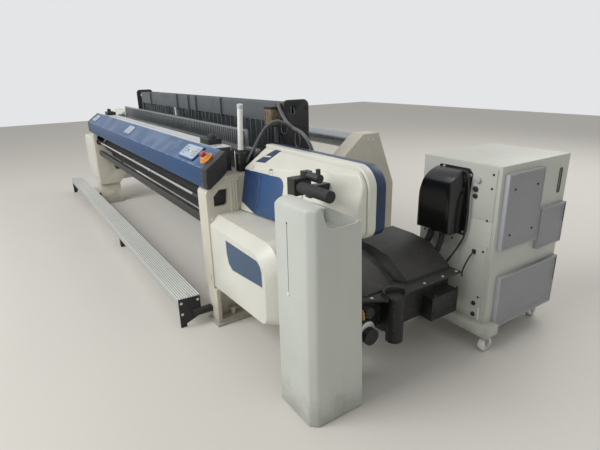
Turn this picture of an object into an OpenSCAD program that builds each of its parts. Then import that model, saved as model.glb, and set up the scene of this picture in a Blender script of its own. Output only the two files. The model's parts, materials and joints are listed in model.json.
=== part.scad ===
// Rapier power loom: frame, cloth take-up, harness, let-off, dobby and control cabinet.
// Millimetres, +Z up. X runs along the weft, the weaver's side faces -Y.

/* [Weaving width] */
// Clear width between the two side frames
inner_w = 3300; // [2400:10:3900]
// Thickness of a side frame casting
frame_t = 130; // [110:1:160]

/* [Side frames] */
// Height of the foot castings
foot_h = 250; // [200:1:300]
// Height of the frame's crest beside the cloth table
crest_z = 936; // [900:1:960]
// Depth of a side frame from front to back
frame_depth = 1480; // [1450:1:1600]
// Width of the inspection window in a side frame
window_w = 92; // [60:1:100]
// Height of the inspection window in a side frame
window_h = 98; // [60:1:100]

/* [Hood and cloth table] */
// Height of the hood's lower front edge
hood_z = 880; // [860:1:900]
// Height of the hood's front face
hood_face_h = 108; // [90:1:130]
// Depth of the hood's sloping top
hood_depth = 126; // [110:1:126]
// Height of the cloth table's top face
table_z = 1082; // [1070:1:1100]
// Depth of the cloth table
table_depth = 112; // [90:1:114]
// Thickness of the sheet metal in the hood and the table
sheet_t = 4; // [2:0.5:6]
// Distance between the holes in the cloth table
table_hole_pitch = 60; // [50:1:120]

/* [Cloth take-up] */
// Radius of the take-up roller
take_up_r = 80; // [60:1:84]
// Radius of the press roller
press_r = 38; // [25:1:45]
// Radius of the front guide rod
guide_r = 12; // [8:1:16]
// Radius of a roller's journal
journal_r = 20; // [12:1:24]

/* [Sley and reed] */
// Radius of the sley's rocking shaft
sley_shaft_r = 40; // [30:1:50]
// Height of the sley's rocking shaft
sley_axis_z = 560; // [540:1:580]
// Height of the race board's top face
race_z = 1040; // [1030:1:1050]
// Height of the reed above the race board
reed_h = 120; // [90:1:130]
// Number of gaps in the reed
reed_gaps = 90; // [40:1:110]

/* [Heald frames] */
// Number of heald frames
heald_count = 6; // [6:1:6]
// Distance between neighbouring heald frames
heald_pitch = 28; // [24:1:30]
// Thickness of a heald frame
heald_t = 12; // [8:1:14]
// Height of a heald frame's top rail
heald_rail_h = 118; // [80:1:140]
// Number of heald strips in a heald frame
heald_strips = 36; // [10:1:44]

/* [Warp let-off] */
// Radius of the warp beam's flanges
flange_r = 400; // [300:1:410]
// Radius of the warp beam's barrel
barrel_r = 85; // [60:1:110]
// Radius of the back rest roller
back_rest_r = 60; // [45:1:64]
// Gear module of the let-off drive
gear_m = 6; // [5:0.5:6]
// Teeth on the warp beam's gear
beam_teeth = 60; // [50:1:60]
// Teeth on the let-off pinion
pinion_teeth = 15; // [13:1:18]

/* [Right end housings] */
// Length of the lower housing
lower_l = 700; // [600:1:720]
// Depth of the lower housing
lower_d = 500; // [400:1:550]
// Height of the lower housing's top face
lower_top_z = 715; // [700:1:720]
// Length of the upper housing
upper_l = 930; // [800:1:960]
// Height of the upper housing's ridge
upper_top_z = 1092; // [1080:1:1110]
// Height of the blue access door
door_h = 250; // [200:1:250]
// Width of the blue access door
door_w = 385; // [300:1:400]

/* [Waste bin] */
// Width of the waste bin
bin_w = 264; // [220:1:264]
// Depth of the waste bin at the floor
bin_d = 290; // [250:1:290]
// Height of the waste bin
bin_h = 1018; // [960:1:1018]
// Wall thickness of the waste bin
bin_t = 5; // [4:0.5:8]
// Radius of the waste rollers
waste_r = 27; // [20:1:30]

/* [Dobby] */
// Length of the dobby from front to back
dobby_l = 705; // [600:1:720]
// Height of the dobby case above the floor
dobby_z0 = 180; // [160:1:200]
// Height of the rim between the dobby's case and cover
dobby_rim_z = 440; // [420:1:450]

/* [Control cabinet] */
// Width of the control cabinet
cab_w = 495; // [450:1:540]
// Depth of the control cabinet
cab_d = 630; // [560:1:640]
// Height of the control cabinet's top face
cab_top_z = 1035; // [980:1:1100]
// Radius of a caster wheel
caster_r = 42; // [35:1:44]

/* [Walkway] */
// Length of the walkway plank
plank_l = 4250; // [3000:10:4300]
// Width of the walkway plank
plank_w = 140; // [110:1:160]
// Height of the walkway plank's top face
plank_z = 195; // [170:1:210]
// Number of ribs on the walkway plank
plank_ribs = 9; // [5:1:11]

/* [Hidden] */
$fn = 48;

running = 0.05;
rest_gap = 0.3;
half_w = inner_w / 2;
outer_x = half_w + frame_t;

front_y = -5;
take_up_y = 190;
take_up_z = 720;
press_angle = -75;
press_y = take_up_y + (take_up_r + press_r + rest_gap) * cos(press_angle);
press_z = take_up_z + (take_up_r + press_r + rest_gap) * sin(press_angle);
journal_depth = 40;
roller_gap = 6;

guide_y = 60;
guide_z = 765;
guide_right_x = half_w - 230;
guide_left_x = 130 - half_w;

sley_axis_y = 430;
sword_count = 7;
race_front_y = 345;
race_back_y = 425;
race_h = 55;
reed_y = 388;
reed_t = 12;
sley_end_gap = 60;

heald_y0 = 600;
heald_top_z = 1310;
heald_bottom_z = 790;
heald_side_w = 30;
heald_end_gap = 70;
guide_lap = 15;
comb_z0 = 860;
comb_z1 = 1000;

beam_y = 1330;
beam_z = 470;
beam_journal_r = 35;
back_rest_y = 1250;
back_rest_z = 1010;
beam_pitch_r = gear_m * beam_teeth / 2;
pinion_pitch_r = gear_m * pinion_teeth / 2;
pinion_angle = 160;
gear_gap = 0.6;
pinion_y = beam_y + (beam_pitch_r + pinion_pitch_r + gear_gap) * cos(pinion_angle);
pinion_z = beam_z + (beam_pitch_r + pinion_pitch_r + gear_gap) * sin(pinion_angle);
gear_x = half_w - 90;
gear_t = 30;

hood_top_y = front_y + 5 + hood_depth;
hood_ridge_z = table_z + 1;
hood_bend_y = front_y + 10;
hood_bend_z = hood_z + hood_face_h + 12;
hood_flat = 10;
hood_x = outer_x + 40;
cap_t = 70;
breast_y0 = 130;
breast_y1 = hood_top_y + 106;
breast_z0 = 870;
low_beam_y = 44;
low_beam_z = 606;
rear_beam_y = 790;
rear_beam_z = 400;

upper_bend_y = 255;
upper_front_y = 205;
upper_bend_z = 970;
upper_ridge_y = 430;
upper_back_y = 455;
band_d = 65;
face_turn = 7;
face_lean = -11;

bin_x = outer_x + 820;
bin_y = -25;
dobby_right_x = outer_x + 980;
dobby_y0 = 330;
cab_x = outer_x + 625;
cab_y = 1105;
cab_z0 = 160;
plinth_h = 60;
plinth_x1 = cab_x + 545;
plank_y = -207;
plank_right_x = half_w + 40;
plank_left_x = plank_right_x - plank_l;

// The part's origin lies on the floor, under the middle of its outline
cap_plate = 6;
origin_x = (plank_left_x - cap_plate + plinth_x1) / 2;
origin_y = (plank_y + cab_y + cab_d) / 2;

module place() { translate([-origin_x, -origin_y, 0]) children(); }
// An outline drawn as (Y, Z), drawn out along X
module along_x(x0, len) { translate([x0, 0, 0]) rotate([90, 0, 90]) linear_extrude(len) children(); }
// An outline drawn as (X, Z), drawn out along Y
module along_y(y0, len) { translate([0, y0 + len, 0]) rotate([90, 0, 0]) linear_extrude(len) children(); }
module rod_x(x0, len, r, y, z) { translate([x0, y, z]) rotate([0, 90, 0]) cylinder(h = len, r = r); }
module rod_y(y0, len, r, x, z) { translate([x, y0 + len, z]) rotate([90, 0, 0]) cylinder(h = len, r = r); }
module box(lo, hi) { translate(lo) cube(hi - lo); }
module rounded(w, h, r) {
    square([w - 2 * r, h], center = true);
    square([w, h - 2 * r], center = true);
    for (sx = [-1, 1], sy = [-1, 1])
        translate([sx * (w / 2 - r), sy * (h / 2 - r)]) circle(r);
}
module both_ends() {
    children();
    mirror([1, 0, 0]) children();
}

// Side frames
window_y0 = 45;
window_z0 = 762;
rear_post_y = 1180;
crest_front_y = 94;
nose_r = 34;
module frame_outline() {
    difference() {
        union() {
            polygon([[230, foot_h], [330, 370], [rear_post_y - 100, 370], [rear_post_y, foot_h],
                [frame_depth, foot_h], [frame_depth, 700], [rear_post_y + 140, back_rest_z + 70],
                [rear_post_y, back_rest_z + 70], [930, crest_z - 60], [760, crest_z - 11],
                [crest_front_y, crest_z], [nose_r, crest_z - 66], [nose_r, crest_z - 66 - nose_r],
                [0, crest_z - 66 - nose_r], [0, foot_h]]);
            translate([nose_r, crest_z - 66 - nose_r]) circle(nose_r);
        }
        polygon([[window_y0 + window_w - 20, window_z0], [window_y0 + window_w - 8, window_z0 + 12],
            [window_y0 + window_w, window_z0 + window_h],
            [window_y0 + 0.4 * window_w, window_z0 + window_h],
            [window_y0, window_z0 + 0.62 * window_h], [window_y0, window_z0]]);
        translate([640, 600]) rounded(200, 280, 40);
        translate([930, 600]) rounded(190, 260, 40);
        translate([250, 460]) rounded(110, 90, 30);
    }
}
module frame_casting() {
    difference() {
        along_x(half_w, frame_t) frame_outline();
        box([outer_x - 40, -1, foot_h + 38], [outer_x - 30, 12, foot_h + 78]);
        rod_x(half_w - 1, journal_depth + 1, journal_r + running, take_up_y, take_up_z);
        rod_x(half_w - 1, journal_depth + 1, journal_r - 5 + running, press_y, press_z);
        rod_x(half_w - 1, journal_depth + 1, sley_shaft_r - 10 + running, sley_axis_y, sley_axis_z);
        rod_x(half_w - 1, journal_depth + 1, beam_journal_r + running, beam_y, beam_z);
        rod_x(half_w - 1, journal_depth + 1, journal_r + running, back_rest_y, back_rest_z);
    }
}
// Three upright flutes under a small ledge on the outer face of the right frame
flute_y = 158;
flute_r = 11;
flute_pitch = 17;
ledge_z = 905;
module flutes() {
    z0 = lower_top_z + rest_gap;
    for (i = [0:2])
        translate([outer_x - 1, flute_y + i * flute_pitch, z0])
            cylinder(h = ledge_z - z0 + 1, r = flute_r);
    translate([0, 0, ledge_z]) linear_extrude(14) polygon([[outer_x - 1, flute_y - 13],
        [outer_x + 11, flute_y + 2], [outer_x + 11, flute_y + 52], [outer_x - 1, flute_y + 67]]);
}
module side_frame_right() {
    color("ivory") place() {
        frame_casting();
        flutes();
    }
}
module side_frame_left() { color("ivory") place() mirror([1, 0, 0]) frame_casting(); }

// Feet: box castings with an open pocket on the outer side
foot_shift = 32;
module foot_casting(y0, y1) {
    difference() {
        union() {
            box([half_w + foot_shift, y0, 18], [outer_x + foot_shift, y1, foot_h]);
            box([half_w + foot_shift - 12, y0 - 12, 0], [outer_x + foot_shift + 12, y1 + 12, 18]);
        }
        box([outer_x + foot_shift - 70, y0 + 25, 40], [outer_x + foot_shift + 1, y1 - 22, foot_h - 28]);
    }
    translate([outer_x + foot_shift - 35, (y0 + y1) / 2, 40]) cylinder(h = 34, r = 16);
    translate([outer_x + foot_shift - 35, (y0 + y1) / 2, 74]) cylinder(h = 16, r = 24, $fn = 6);
}
module feet() {
    color("beige") place() both_ends() {
        foot_casting(0, 230);
        foot_casting(rear_post_y, frame_depth);
    }
}

// Cross members between the side frames
module breast_beam() {
    color("dimgray") place() box([-half_w, breast_y0, breast_z0], [half_w, breast_y1, table_z - sheet_t]);
}
module cross_beams() {
    color("dimgray") place() {
        box([-half_w, low_beam_y, low_beam_z], [half_w, low_beam_y + 36, low_beam_z + 54]);
        box([-half_w, rear_beam_y, rear_beam_z], [half_w, rear_beam_y + 100, rear_beam_z + 120]);
    }
}

// Hood: a bent sheet cover closed by two caps
hood_lip_y = 16;
module hood_outline() {
    polygon([[hood_lip_y, hood_z], [crest_front_y, crest_z + 1], [hood_top_y, crest_z + 30],
        [hood_top_y, hood_ridge_z], [hood_top_y - hood_flat, hood_ridge_z],
        [hood_bend_y, hood_bend_z], [front_y + 3, hood_bend_z - 5], [front_y, hood_z + hood_face_h],
        [front_y, hood_z]]);
}
module hood_cover() {
    l = 2 * (hood_x - cap_t);
    color("steelblue") place() difference() {
        along_x(-l / 2, l) hood_outline();
        along_x(-l / 2 - 1, l + 2) polygon([[hood_lip_y, crest_z - 80],
            [hood_top_y - sheet_t, crest_z - 40], [hood_top_y - sheet_t, hood_ridge_z - sheet_t - 1],
            [hood_top_y - hood_flat, hood_ridge_z - sheet_t - 1], [hood_bend_y + 3, hood_bend_z - 4],
            [front_y + sheet_t, hood_bend_z - 14], [front_y + sheet_t, hood_z - 1]]);
    }
}
module hood_caps() {
    color("dimgray") place() for (x = [-hood_x, hood_x - cap_t]) along_x(x, cap_t) hood_outline();
}

// Cloth table: a bent plate with a lip and a row of holes, lying on the breast beam
table_y0 = hood_top_y + rest_gap;
module cloth_table() {
    holes = floor((inner_w - 200) / table_hole_pitch / 2);
    color("gainsboro") place() difference() {
        union() {
            box([-half_w, table_y0, table_z - sheet_t], [half_w, table_y0 + table_depth, table_z]);
            box([-half_w, table_y0 + table_depth - sheet_t, table_z - 26],
                [half_w, table_y0 + table_depth, table_z - sheet_t]);
        }
        for (i = [-holes:holes])
            translate([i * table_hole_pitch, table_y0 + table_depth * 0.62, table_z - sheet_t - 1])
                cylinder(h = sheet_t + 2, r = 6, $fn = 16);
    }
}

// Control pads lie on the hood's slope, with push buttons that stand in them
hood_slope = atan2(hood_ridge_z - hood_bend_z, hood_top_y - hood_flat - hood_bend_y);
module on_hood(x, up) {
    translate([x, hood_bend_y, hood_bend_z]) rotate([hood_slope, 0, 0]) translate([0, up, 0]) children();
}
pad_t = 9;
pad_mid = 68;
button_r = 9;
button_travel = 3;
button_pitch = 34;
pad_right_x = half_w - 200;
pad_middle_x = -60;
pad_left_x = 90 - half_w;
module pad(x, w, h, buttons) {
    on_hood(x, pad_mid) difference() {
        translate([0, 0, rest_gap]) linear_extrude(pad_t) rounded(w, h, 22);
        for (i = [0:1:buttons - 1])
            translate([(i - (buttons - 1) / 2) * button_pitch, 0, rest_gap + pad_t - 7])
                cylinder(h = 8, r = button_r + rest_gap);
    }
}
module button(x, i, buttons) {
    on_hood(x, pad_mid) translate([(i - (buttons - 1) / 2) * button_pitch, 0, rest_gap + pad_t - 7]) {
        translate([0, 0, button_travel]) cylinder(h = 6, r = button_r);
        translate([0, 0, button_travel + 6]) cylinder(h = 2, r1 = button_r, r2 = button_r - 2);
    }
}
module keypads() {
    color("lightgray") place() {
        pad(pad_right_x, 250, 96, 3);
        pad(pad_middle_x, 180, 84, 0);
        pad(pad_left_x, 180, 84, 0);
    }
}
module start_button() { color("green") place() button(pad_right_x, 0, 3); }
module stop_button() { color("white") place() button(pad_right_x, 1, 3); }
module slow_button() { color("gold") place() button(pad_right_x, 2, 3); }

emergency_x = hood_x - cap_t - 35;
stem_r = 9;
module emergency_base() {
    color("orange") place() on_hood(emergency_x, 58) difference() {
        union() {
            translate([0, 0, rest_gap]) cylinder(h = 10, r = 42);
            translate([0, 0, rest_gap + 10]) cylinder(h = 18, r1 = 36, r2 = 26);
        }
        translate([0, 0, 8]) cylinder(h = 30, r = stem_r + running);
    }
}
module emergency_button() {
    color("crimson") place() on_hood(emergency_x, 58) {
        translate([0, 0, 14]) cylinder(h = 22, r = stem_r);
        translate([0, 0, 36]) cylinder(h = 6, r1 = 18, r2 = 22);
        translate([0, 0, 42]) cylinder(h = 10, r1 = 22, r2 = 14);
    }
}

// Front guide rod in its two end sockets
guide_journal_r = 8;
module guide_rod() {
    color("silver") place() {
        rod_x(guide_left_x, guide_right_x - guide_left_x, guide_r, guide_y, guide_z);
        for (t = [1 / 3, 2 / 3])
            rod_x(guide_left_x + t * (guide_right_x - guide_left_x) - 30, 60, guide_r + 4,
                guide_y, guide_z);
        rod_x(guide_left_x - 40, guide_right_x - guide_left_x + 80, guide_journal_r, guide_y, guide_z);
    }
}
module guide_socket() {
    difference() {
        union() {
            rod_x(guide_right_x + rest_gap, half_w - guide_right_x - rest_gap, 15, guide_y, guide_z);
            rod_x(half_w - 12, 12, 34, guide_y, guide_z);
        }
        rod_x(guide_right_x - 1, 43 + rest_gap, guide_journal_r + running, guide_y, guide_z);
    }
}
module guide_sockets() {
    color("black") place() {
        guide_socket();
        mirror([1, 0, 0]) translate([-guide_left_x - guide_right_x, 0, 0]) intersection() {
            guide_socket();
            box([0, -200, 0], [half_w + guide_left_x + guide_right_x, 400, 1000]);
        }
        rod_x(-half_w, 12, 34, guide_y, guide_z);
    }
}

module roller(r, journal, y, z) {
    rod_x(-half_w + roller_gap, inner_w - 2 * roller_gap, r, y, z);
    rod_x(-half_w - journal_depth + 2, inner_w + 2 * journal_depth - 4, journal, y, z);
}
module take_up_roller() {
    color("darkslategray") place() roller(take_up_r, journal_r, take_up_y, take_up_z);
}
module press_roller() { color("black") place() roller(press_r, journal_r - 5, press_y, press_z); }
module back_rest_roller() {
    color("silver") place() roller(back_rest_r, journal_r, back_rest_y, back_rest_z);
}

// Sley: rocking shaft, swords and race board
sley_l = inner_w - 2 * sley_end_gap;
module sley() {
    color("gray") place() {
        roller(sley_shaft_r, sley_shaft_r - 10, sley_axis_y, sley_axis_z);
        box([-sley_l / 2, race_front_y, race_z - race_h], [sley_l / 2, race_back_y, race_z]);
        for (i = [0:sword_count - 1])
            along_x(-sley_l / 2 + 120 + i * (sley_l - 264) / (sword_count - 1), 24) {
                polygon([[sley_axis_y + sley_shaft_r + 22, sley_axis_z],
                    [race_back_y - 8, race_z - race_h], [race_front_y + 18, race_z - race_h],
                    [sley_axis_y - sley_shaft_r - 22, sley_axis_z]]);
                translate([sley_axis_y, sley_axis_z]) circle(sley_shaft_r + 22);
            }
    }
}
module reed() {
    pitch = (sley_l - 80) / reed_gaps;
    color("silver") place() difference() {
        box([-sley_l / 2 + 20, reed_y, race_z], [sley_l / 2 - 20, reed_y + reed_t, race_z + reed_h]);
        for (i = [0:reed_gaps - 1])
            box([-sley_l / 2 + 40 + (i + 0.2) * pitch, reed_y - 1, race_z + 12],
                [-sley_l / 2 + 40 + (i + 0.8) * pitch, reed_y + reed_t + 1, race_z + reed_h - 12]);
    }
}

// Temples: bodies on the cloth table, each with a spiked ring roller
temple_x = half_w - 200;
module temple(x) {
    difference() {
        box([x - 70, table_y0 + 22, table_z], [x + 70, table_y0 + table_depth - 2, table_z + 34]);
        box([x - 60, table_y0 + 50, table_z + 12], [x + 60, table_y0 + table_depth - 1, table_z + 35]);
    }
    for (i = [0:8])
        rod_x(x - 60 + i * 13.33 , 13.34, i % 2 == 0 ? 13 : 10, table_y0 + 72, table_z + 26);
}
module temples() {
    color("dimgray") place() {
        temple(temple_x);
        temple(-temple_x);
    }
}

// Rapiers: a head on a stiff tape at each end, parked on its guide beside the reed
head_x0 = half_w - 50;
head_l = 155;
head_y0 = 348;
head_y1 = 384;
head_h = 24;
head_lift = rest_gap;
tape_y0 = 370;
tape_y1 = 384;
tape_z0 = race_z + head_lift;
tape_t = 3;
tape_l = 500;
tape_play = 2;
module rapier() {
    difference() {
        along_x(head_x0, head_l) polygon([[head_y0, tape_z0], [head_y1, tape_z0],
            [head_y1, tape_z0 + head_h - 8], [head_y1 - 8, tape_z0 + head_h],
            [head_y0 + 4, tape_z0 + head_h], [head_y0, tape_z0 + head_h - 4]]);
        box([head_x0 - 1, head_y0 + 10, tape_z0 + 8], [head_x0 + 70, head_y1 - 10, tape_z0 + head_h + 1]);
        translate([head_x0 - 1, head_y0 - 1, tape_z0 - 1]) rotate([0, 0, -40]) cube([60, 30, head_h + 2]);
    }
    box([head_x0 + head_l - 40, tape_y0, tape_z0], [head_x0 + head_l + tape_l, tape_y1, tape_z0 + tape_t]);
}
module tape_tunnel() {
    box([outer_x - 1, tape_y0 - tape_play, tape_z0 - tape_play],
        [outer_x + tape_l + 60, tape_y1 + tape_play, tape_z0 + tape_t + tape_play]);
}
module rapier_right() { color("silver") place() rapier(); }
module rapier_left() { color("silver") place() mirror([1, 0, 0]) rapier(); }
guide_seat_z = crest_z - 3.7;
module rapier_guides() {
    color("dimgray") place() both_ends() {
        box([half_w + 10, head_y0 - 14, guide_seat_z], [outer_x - 10, head_y1 + 8, race_z]);
        box([half_w + 10, head_y0 - 14, race_z - 1], [outer_x - 10, head_y0 - 6, race_z + 14]);
    }
}

// Heald frames with their heald strips, rod hooks and lifting rods
heald_x = half_w - heald_end_gap;
lifter_x = half_w - 350;
lifter_z0 = 730;
hook_at = [-0.724, -0.185, 0.002, 0.115, 0.441];
hook_w = 16;
hook_t = 11;
module heald_frame(i) {
    y = heald_y0 + i * heald_pitch;
    pitch = 2 * (heald_x - 120) / (heald_strips - 1);
    box([-heald_x, y, heald_top_z - heald_rail_h], [heald_x, y + heald_t, heald_top_z]);
    box([-heald_x, y, heald_bottom_z], [heald_x, y + heald_t, heald_bottom_z + 80]);
    for (s = [-1, 1])
        box([s * (heald_x - heald_side_w / 2) - heald_side_w / 2, y, heald_bottom_z],
            [s * (heald_x - heald_side_w / 2) + heald_side_w / 2, y + heald_t, heald_top_z]);
    for (k = [0:heald_strips - 1])
        box([-heald_x + 120 + k * pitch - 9, y + heald_t / 2 - 1.5, heald_bottom_z + 80],
            [-heald_x + 120 + k * pitch + 9, y + heald_t / 2 + 1.5, heald_top_z - heald_rail_h]);
    for (s = [-1, 1]) {
        translate([s * lifter_x, y + heald_t / 2, lifter_z0])
            cylinder(h = heald_bottom_z - lifter_z0, r = 5);
        box([s * lifter_x - 12, y, lifter_z0 - 30], [s * lifter_x + 12, y + heald_t, lifter_z0]);
    }
}
module rod_hook(x) {
    low = heald_top_z - heald_rail_h;
    along_x(x - hook_w / 2, hook_w) polygon([[heald_y0 - hook_t, low - hook_t],
        [heald_y0 + heald_t + 3, low - hook_t], [heald_y0 + heald_t + 3, low + 0.01],
        [heald_y0 + 0.01, low + 0.01], [heald_y0 + 0.01, heald_top_z - 0.01],
        [heald_y0 + heald_t + 3, heald_top_z - 0.01], [heald_y0 + heald_t + 3, heald_top_z + hook_t],
        [heald_y0 - hook_t, heald_top_z + hook_t]]);
}
module heald_frame_1() {
    color("slategray") place() {
        heald_frame(0);
        for (t = hook_at) rod_hook(t * half_w);
    }
}
module heald_frame_2() { color("slategray") place() heald_frame(1); }
module heald_frame_3() { color("slategray") place() heald_frame(2); }
module heald_frame_4() { color("slategray") place() heald_frame(3); }
module heald_frame_5() { color("slategray") place() heald_frame(4); }
module heald_frame_6() { color("slategray") place() heald_frame(5); }

// Harness guides: a comb on each side frame with an upright plate and its round hole
comb_y0 = heald_y0 - 20;
comb_y1 = heald_y0 + (heald_count - 1) * heald_pitch + heald_t + 20;
post_top_z = 1335;
post_t = 18;
post_hole_r = 26;
module harness_guide() {
    difference() {
        union() {
            box([heald_x - guide_lap, comb_y0, comb_z0], [half_w, comb_y1, comb_z1]);
            box([half_w, comb_y0, crest_z], [half_w + 60, comb_y1, comb_z1]);
            along_x(half_w + 60 - post_t, post_t) difference() {
                union() {
                    translate([comb_y0, comb_z1]) square([comb_y1 - comb_y0, post_top_z - 40 - comb_z1]);
                    translate([comb_y0 + 40, post_top_z - 41]) square([comb_y1 - comb_y0 - 80, 41]);
                    for (y = [comb_y0 + 40, comb_y1 - 40]) translate([y, post_top_z - 40]) circle(40);
                }
                translate([comb_y0 + 70, post_top_z - 62]) circle(post_hole_r);
            }
        }
        for (i = [0:heald_count - 1])
            box([heald_x - guide_lap - 1, heald_y0 + i * heald_pitch - rest_gap, comb_z0 - 1],
                [heald_x + rest_gap, heald_y0 + i * heald_pitch + heald_t + rest_gap, comb_z1 + 1]);
    }
}
module harness_guides() { color("black") place() both_ends() harness_guide(); }

// Warp beam: barrel, two flanges and the gear, with involute teeth
function involute(base, a) =
    [base * (cos(a) + a * PI / 180 * sin(a)), base * (sin(a) - a * PI / 180 * cos(a))];
function turned(p, a) = [p[0] * cos(a) - p[1] * sin(a), p[0] * sin(a) + p[1] * cos(a)];
function flank_turn(base, r) = sqrt((r / base) * (r / base) - 1) * 180 / PI;
function flank_polar(base, r) = flank_turn(base, r) - atan(flank_turn(base, r) * PI / 180);
backlash = 0.5;
pressure_angle = 20;
module gear_outline(m, z) {
    pitch_r = m * z / 2;
    base = pitch_r * cos(pressure_angle);
    tip = pitch_r + m * 0.95;
    root = pitch_r - m * 1.25;
    half_tooth = 90 / z - backlash / pitch_r * 180 / PI / 2 + flank_polar(base, pitch_r);
    start = max(base, root + 0.2);
    steps = 4;
    circle(root + 0.01, $fn = 96);
    for (i = [0:z - 1]) rotate(i * 360 / z) polygon(concat(
        [[root - 1, -root * sin(half_tooth)]],
        [for (s = [0:steps]) let (r = start + (tip - start) * s / steps)
            turned(involute(base, flank_turn(base, r)), -half_tooth)],
        [for (s = [steps:-1:0]) let (r = start + (tip - start) * s / steps,
            p = turned(involute(base, flank_turn(base, r)), -half_tooth)) [p[0], -p[1]]],
        [[root - 1, root * sin(half_tooth)]]));
}
flange_x = half_w - 150;
flange_t = 14;
module warp_beam() {
    color("silver") place() {
        rod_x(-flange_x, 2 * flange_x, barrel_r, beam_y, beam_z);
        for (x = [-flange_x, flange_x - flange_t]) rod_x(x, flange_t, flange_r, beam_y, beam_z);
        for (x = [-flange_x + flange_t, flange_x - flange_t - 30])
            rod_x(x, 30, barrel_r + 60, beam_y, beam_z);
        translate([gear_x, beam_y, beam_z]) rotate([90, 0, 90]) rotate(pinion_angle) linear_extrude(gear_t)
            gear_outline(gear_m, beam_teeth);
        rod_x(-half_w + roller_gap, inner_w - 2 * roller_gap, beam_journal_r + 15, beam_y, beam_z);
        rod_x(-half_w - journal_depth + 2, inner_w + 2 * journal_depth - 4, beam_journal_r, beam_y, beam_z);
    }
}
pinion_shaft_r = 12;
gearbox_t = 50;
module let_off_pinion() {
    color("gray") place() {
        translate([gear_x - 2, pinion_y, pinion_z]) rotate([90, 0, 90])
            rotate(180 + pinion_angle + 180 / pinion_teeth) linear_extrude(gear_t + 4)
                gear_outline(gear_m, pinion_teeth);
        rod_x(gear_x - 2, gear_t + 44, pinion_shaft_r, pinion_y, pinion_z);
    }
}
module let_off_gearbox() {
    color("dimgray") place() difference() {
        union() {
            box([half_w - gearbox_t, pinion_y - 75, pinion_z - 70], [half_w, pinion_y + 45, pinion_z + 70]);
            rod_x(half_w - gearbox_t - 6, 7, 34, pinion_y, pinion_z);
        }
        rod_x(half_w - gearbox_t - 7, 48, pinion_shaft_r + running, pinion_y, pinion_z);
    }
}

// Lower right housing with the recess for its plate
bevel = 55;
lower_z0 = 262;
corner_r = 130;
foot_r = 60;
module lower_outline(inset) {
    w = lower_l - inset;
    top = lower_top_z - inset;
    polygon([[outer_x + w - foot_r, lower_z0 + 30], [outer_x + w - foot_r, lower_z0 + foot_r + 30],
        [outer_x + w, lower_z0 + foot_r + 30], [outer_x + w, top - corner_r],
        [outer_x + w - corner_r, top - corner_r], [outer_x + w - corner_r, top], [outer_x, top],
        [outer_x, lower_z0]]);
    translate([outer_x + w - corner_r, top - corner_r]) circle(corner_r);
    translate([outer_x + w - foot_r, lower_z0 + foot_r + 30]) circle(foot_r);
}
badge_x0 = outer_x + 212;
badge_z0 = 465;
badge_d = 4;
module badge_outline(inset) {
    polygon([[badge_x0 + inset, badge_z0 + 80], [badge_x0 + 16 + inset, badge_z0 + 30 + inset],
        [badge_x0 + 60 + inset, badge_z0 + inset], [badge_x0 + 410 - inset, badge_z0 + 31 + inset],
        [badge_x0 + 410 - inset, badge_z0 + 107 - inset],
        [badge_x0 + 350 - inset, badge_z0 + 107 - inset],
        [badge_x0 + 350 - inset, badge_z0 + 167 - inset], [badge_x0 + inset, badge_z0 + 167 - inset]]);
    translate([badge_x0 + 350 - inset, badge_z0 + 107 - inset]) circle(60);
}
housing_front_y = 8;
module lower_housing_right() {
    color("ivory") place() difference() {
        union() {
            hull() {
                along_y(housing_front_y, 2) lower_outline(bevel);
                along_y(housing_front_y + bevel, 2) lower_outline(0);
            }
            along_y(housing_front_y + bevel + 2, lower_d - bevel - 2) lower_outline(0);
        }
        along_y(housing_front_y - 1, badge_d + 1) badge_outline(0);
    }
}
module badge_plate() {
    color("slategray") place() along_y(housing_front_y + 1, badge_d - 1) badge_outline(1);
}

// Upper right housing: a pillow shape whose front leans and turns away from the frame
upper_right_x = outer_x + upper_l;
upper_corner_r = 105;
step_in = 7;
recess_d = 3;
ridge_slope = atan2(upper_top_z - upper_bend_z, upper_ridge_y - upper_bend_y);
module on_face() {
    translate([outer_x, upper_front_y, lower_top_z]) rotate([0, 0, face_turn]) rotate([face_lean, 0, 0])
        children();
}
module ridge_outline(inset) {
    r = upper_corner_r;
    z0 = lower_top_z + 1;
    polygon([[upper_right_x - inset - 60, z0 + 30], [upper_right_x - inset - 60, z0 + 90],
        [upper_right_x - inset, z0 + 90], [upper_right_x - inset, upper_top_z - inset - r],
        [upper_right_x - inset - r, upper_top_z - inset - r],
        [upper_right_x - inset - r, upper_top_z - inset], [outer_x, upper_top_z - inset],
        [outer_x, z0]]);
    translate([upper_right_x - inset - r, upper_top_z - inset - r]) circle(r);
    translate([upper_right_x - inset - 60, z0 + 90]) circle(60);
}
door_gap = 2;
door_t = 9;
door_pin_r = 3.5;
door_pin_z = door_h + 20;
module door_outline(inset) {
    r = 46;
    x0 = 14 + inset;
    z0 = 8 + inset;
    w = door_w - inset;
    h = door_h - inset;
    polygon([[x0 + 150, z0], [w, z0 + 6], [w, h - r], [w - r, h - r], [w - r, h], [x0, h],
        [x0, z0 + 50]]);
    translate([w - r, h - r]) circle(r);
}
hinge_y = 5.5;
knuckle_r = 6.5;
knuckle_w = 30;
hinge_x = [60, 250];
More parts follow.
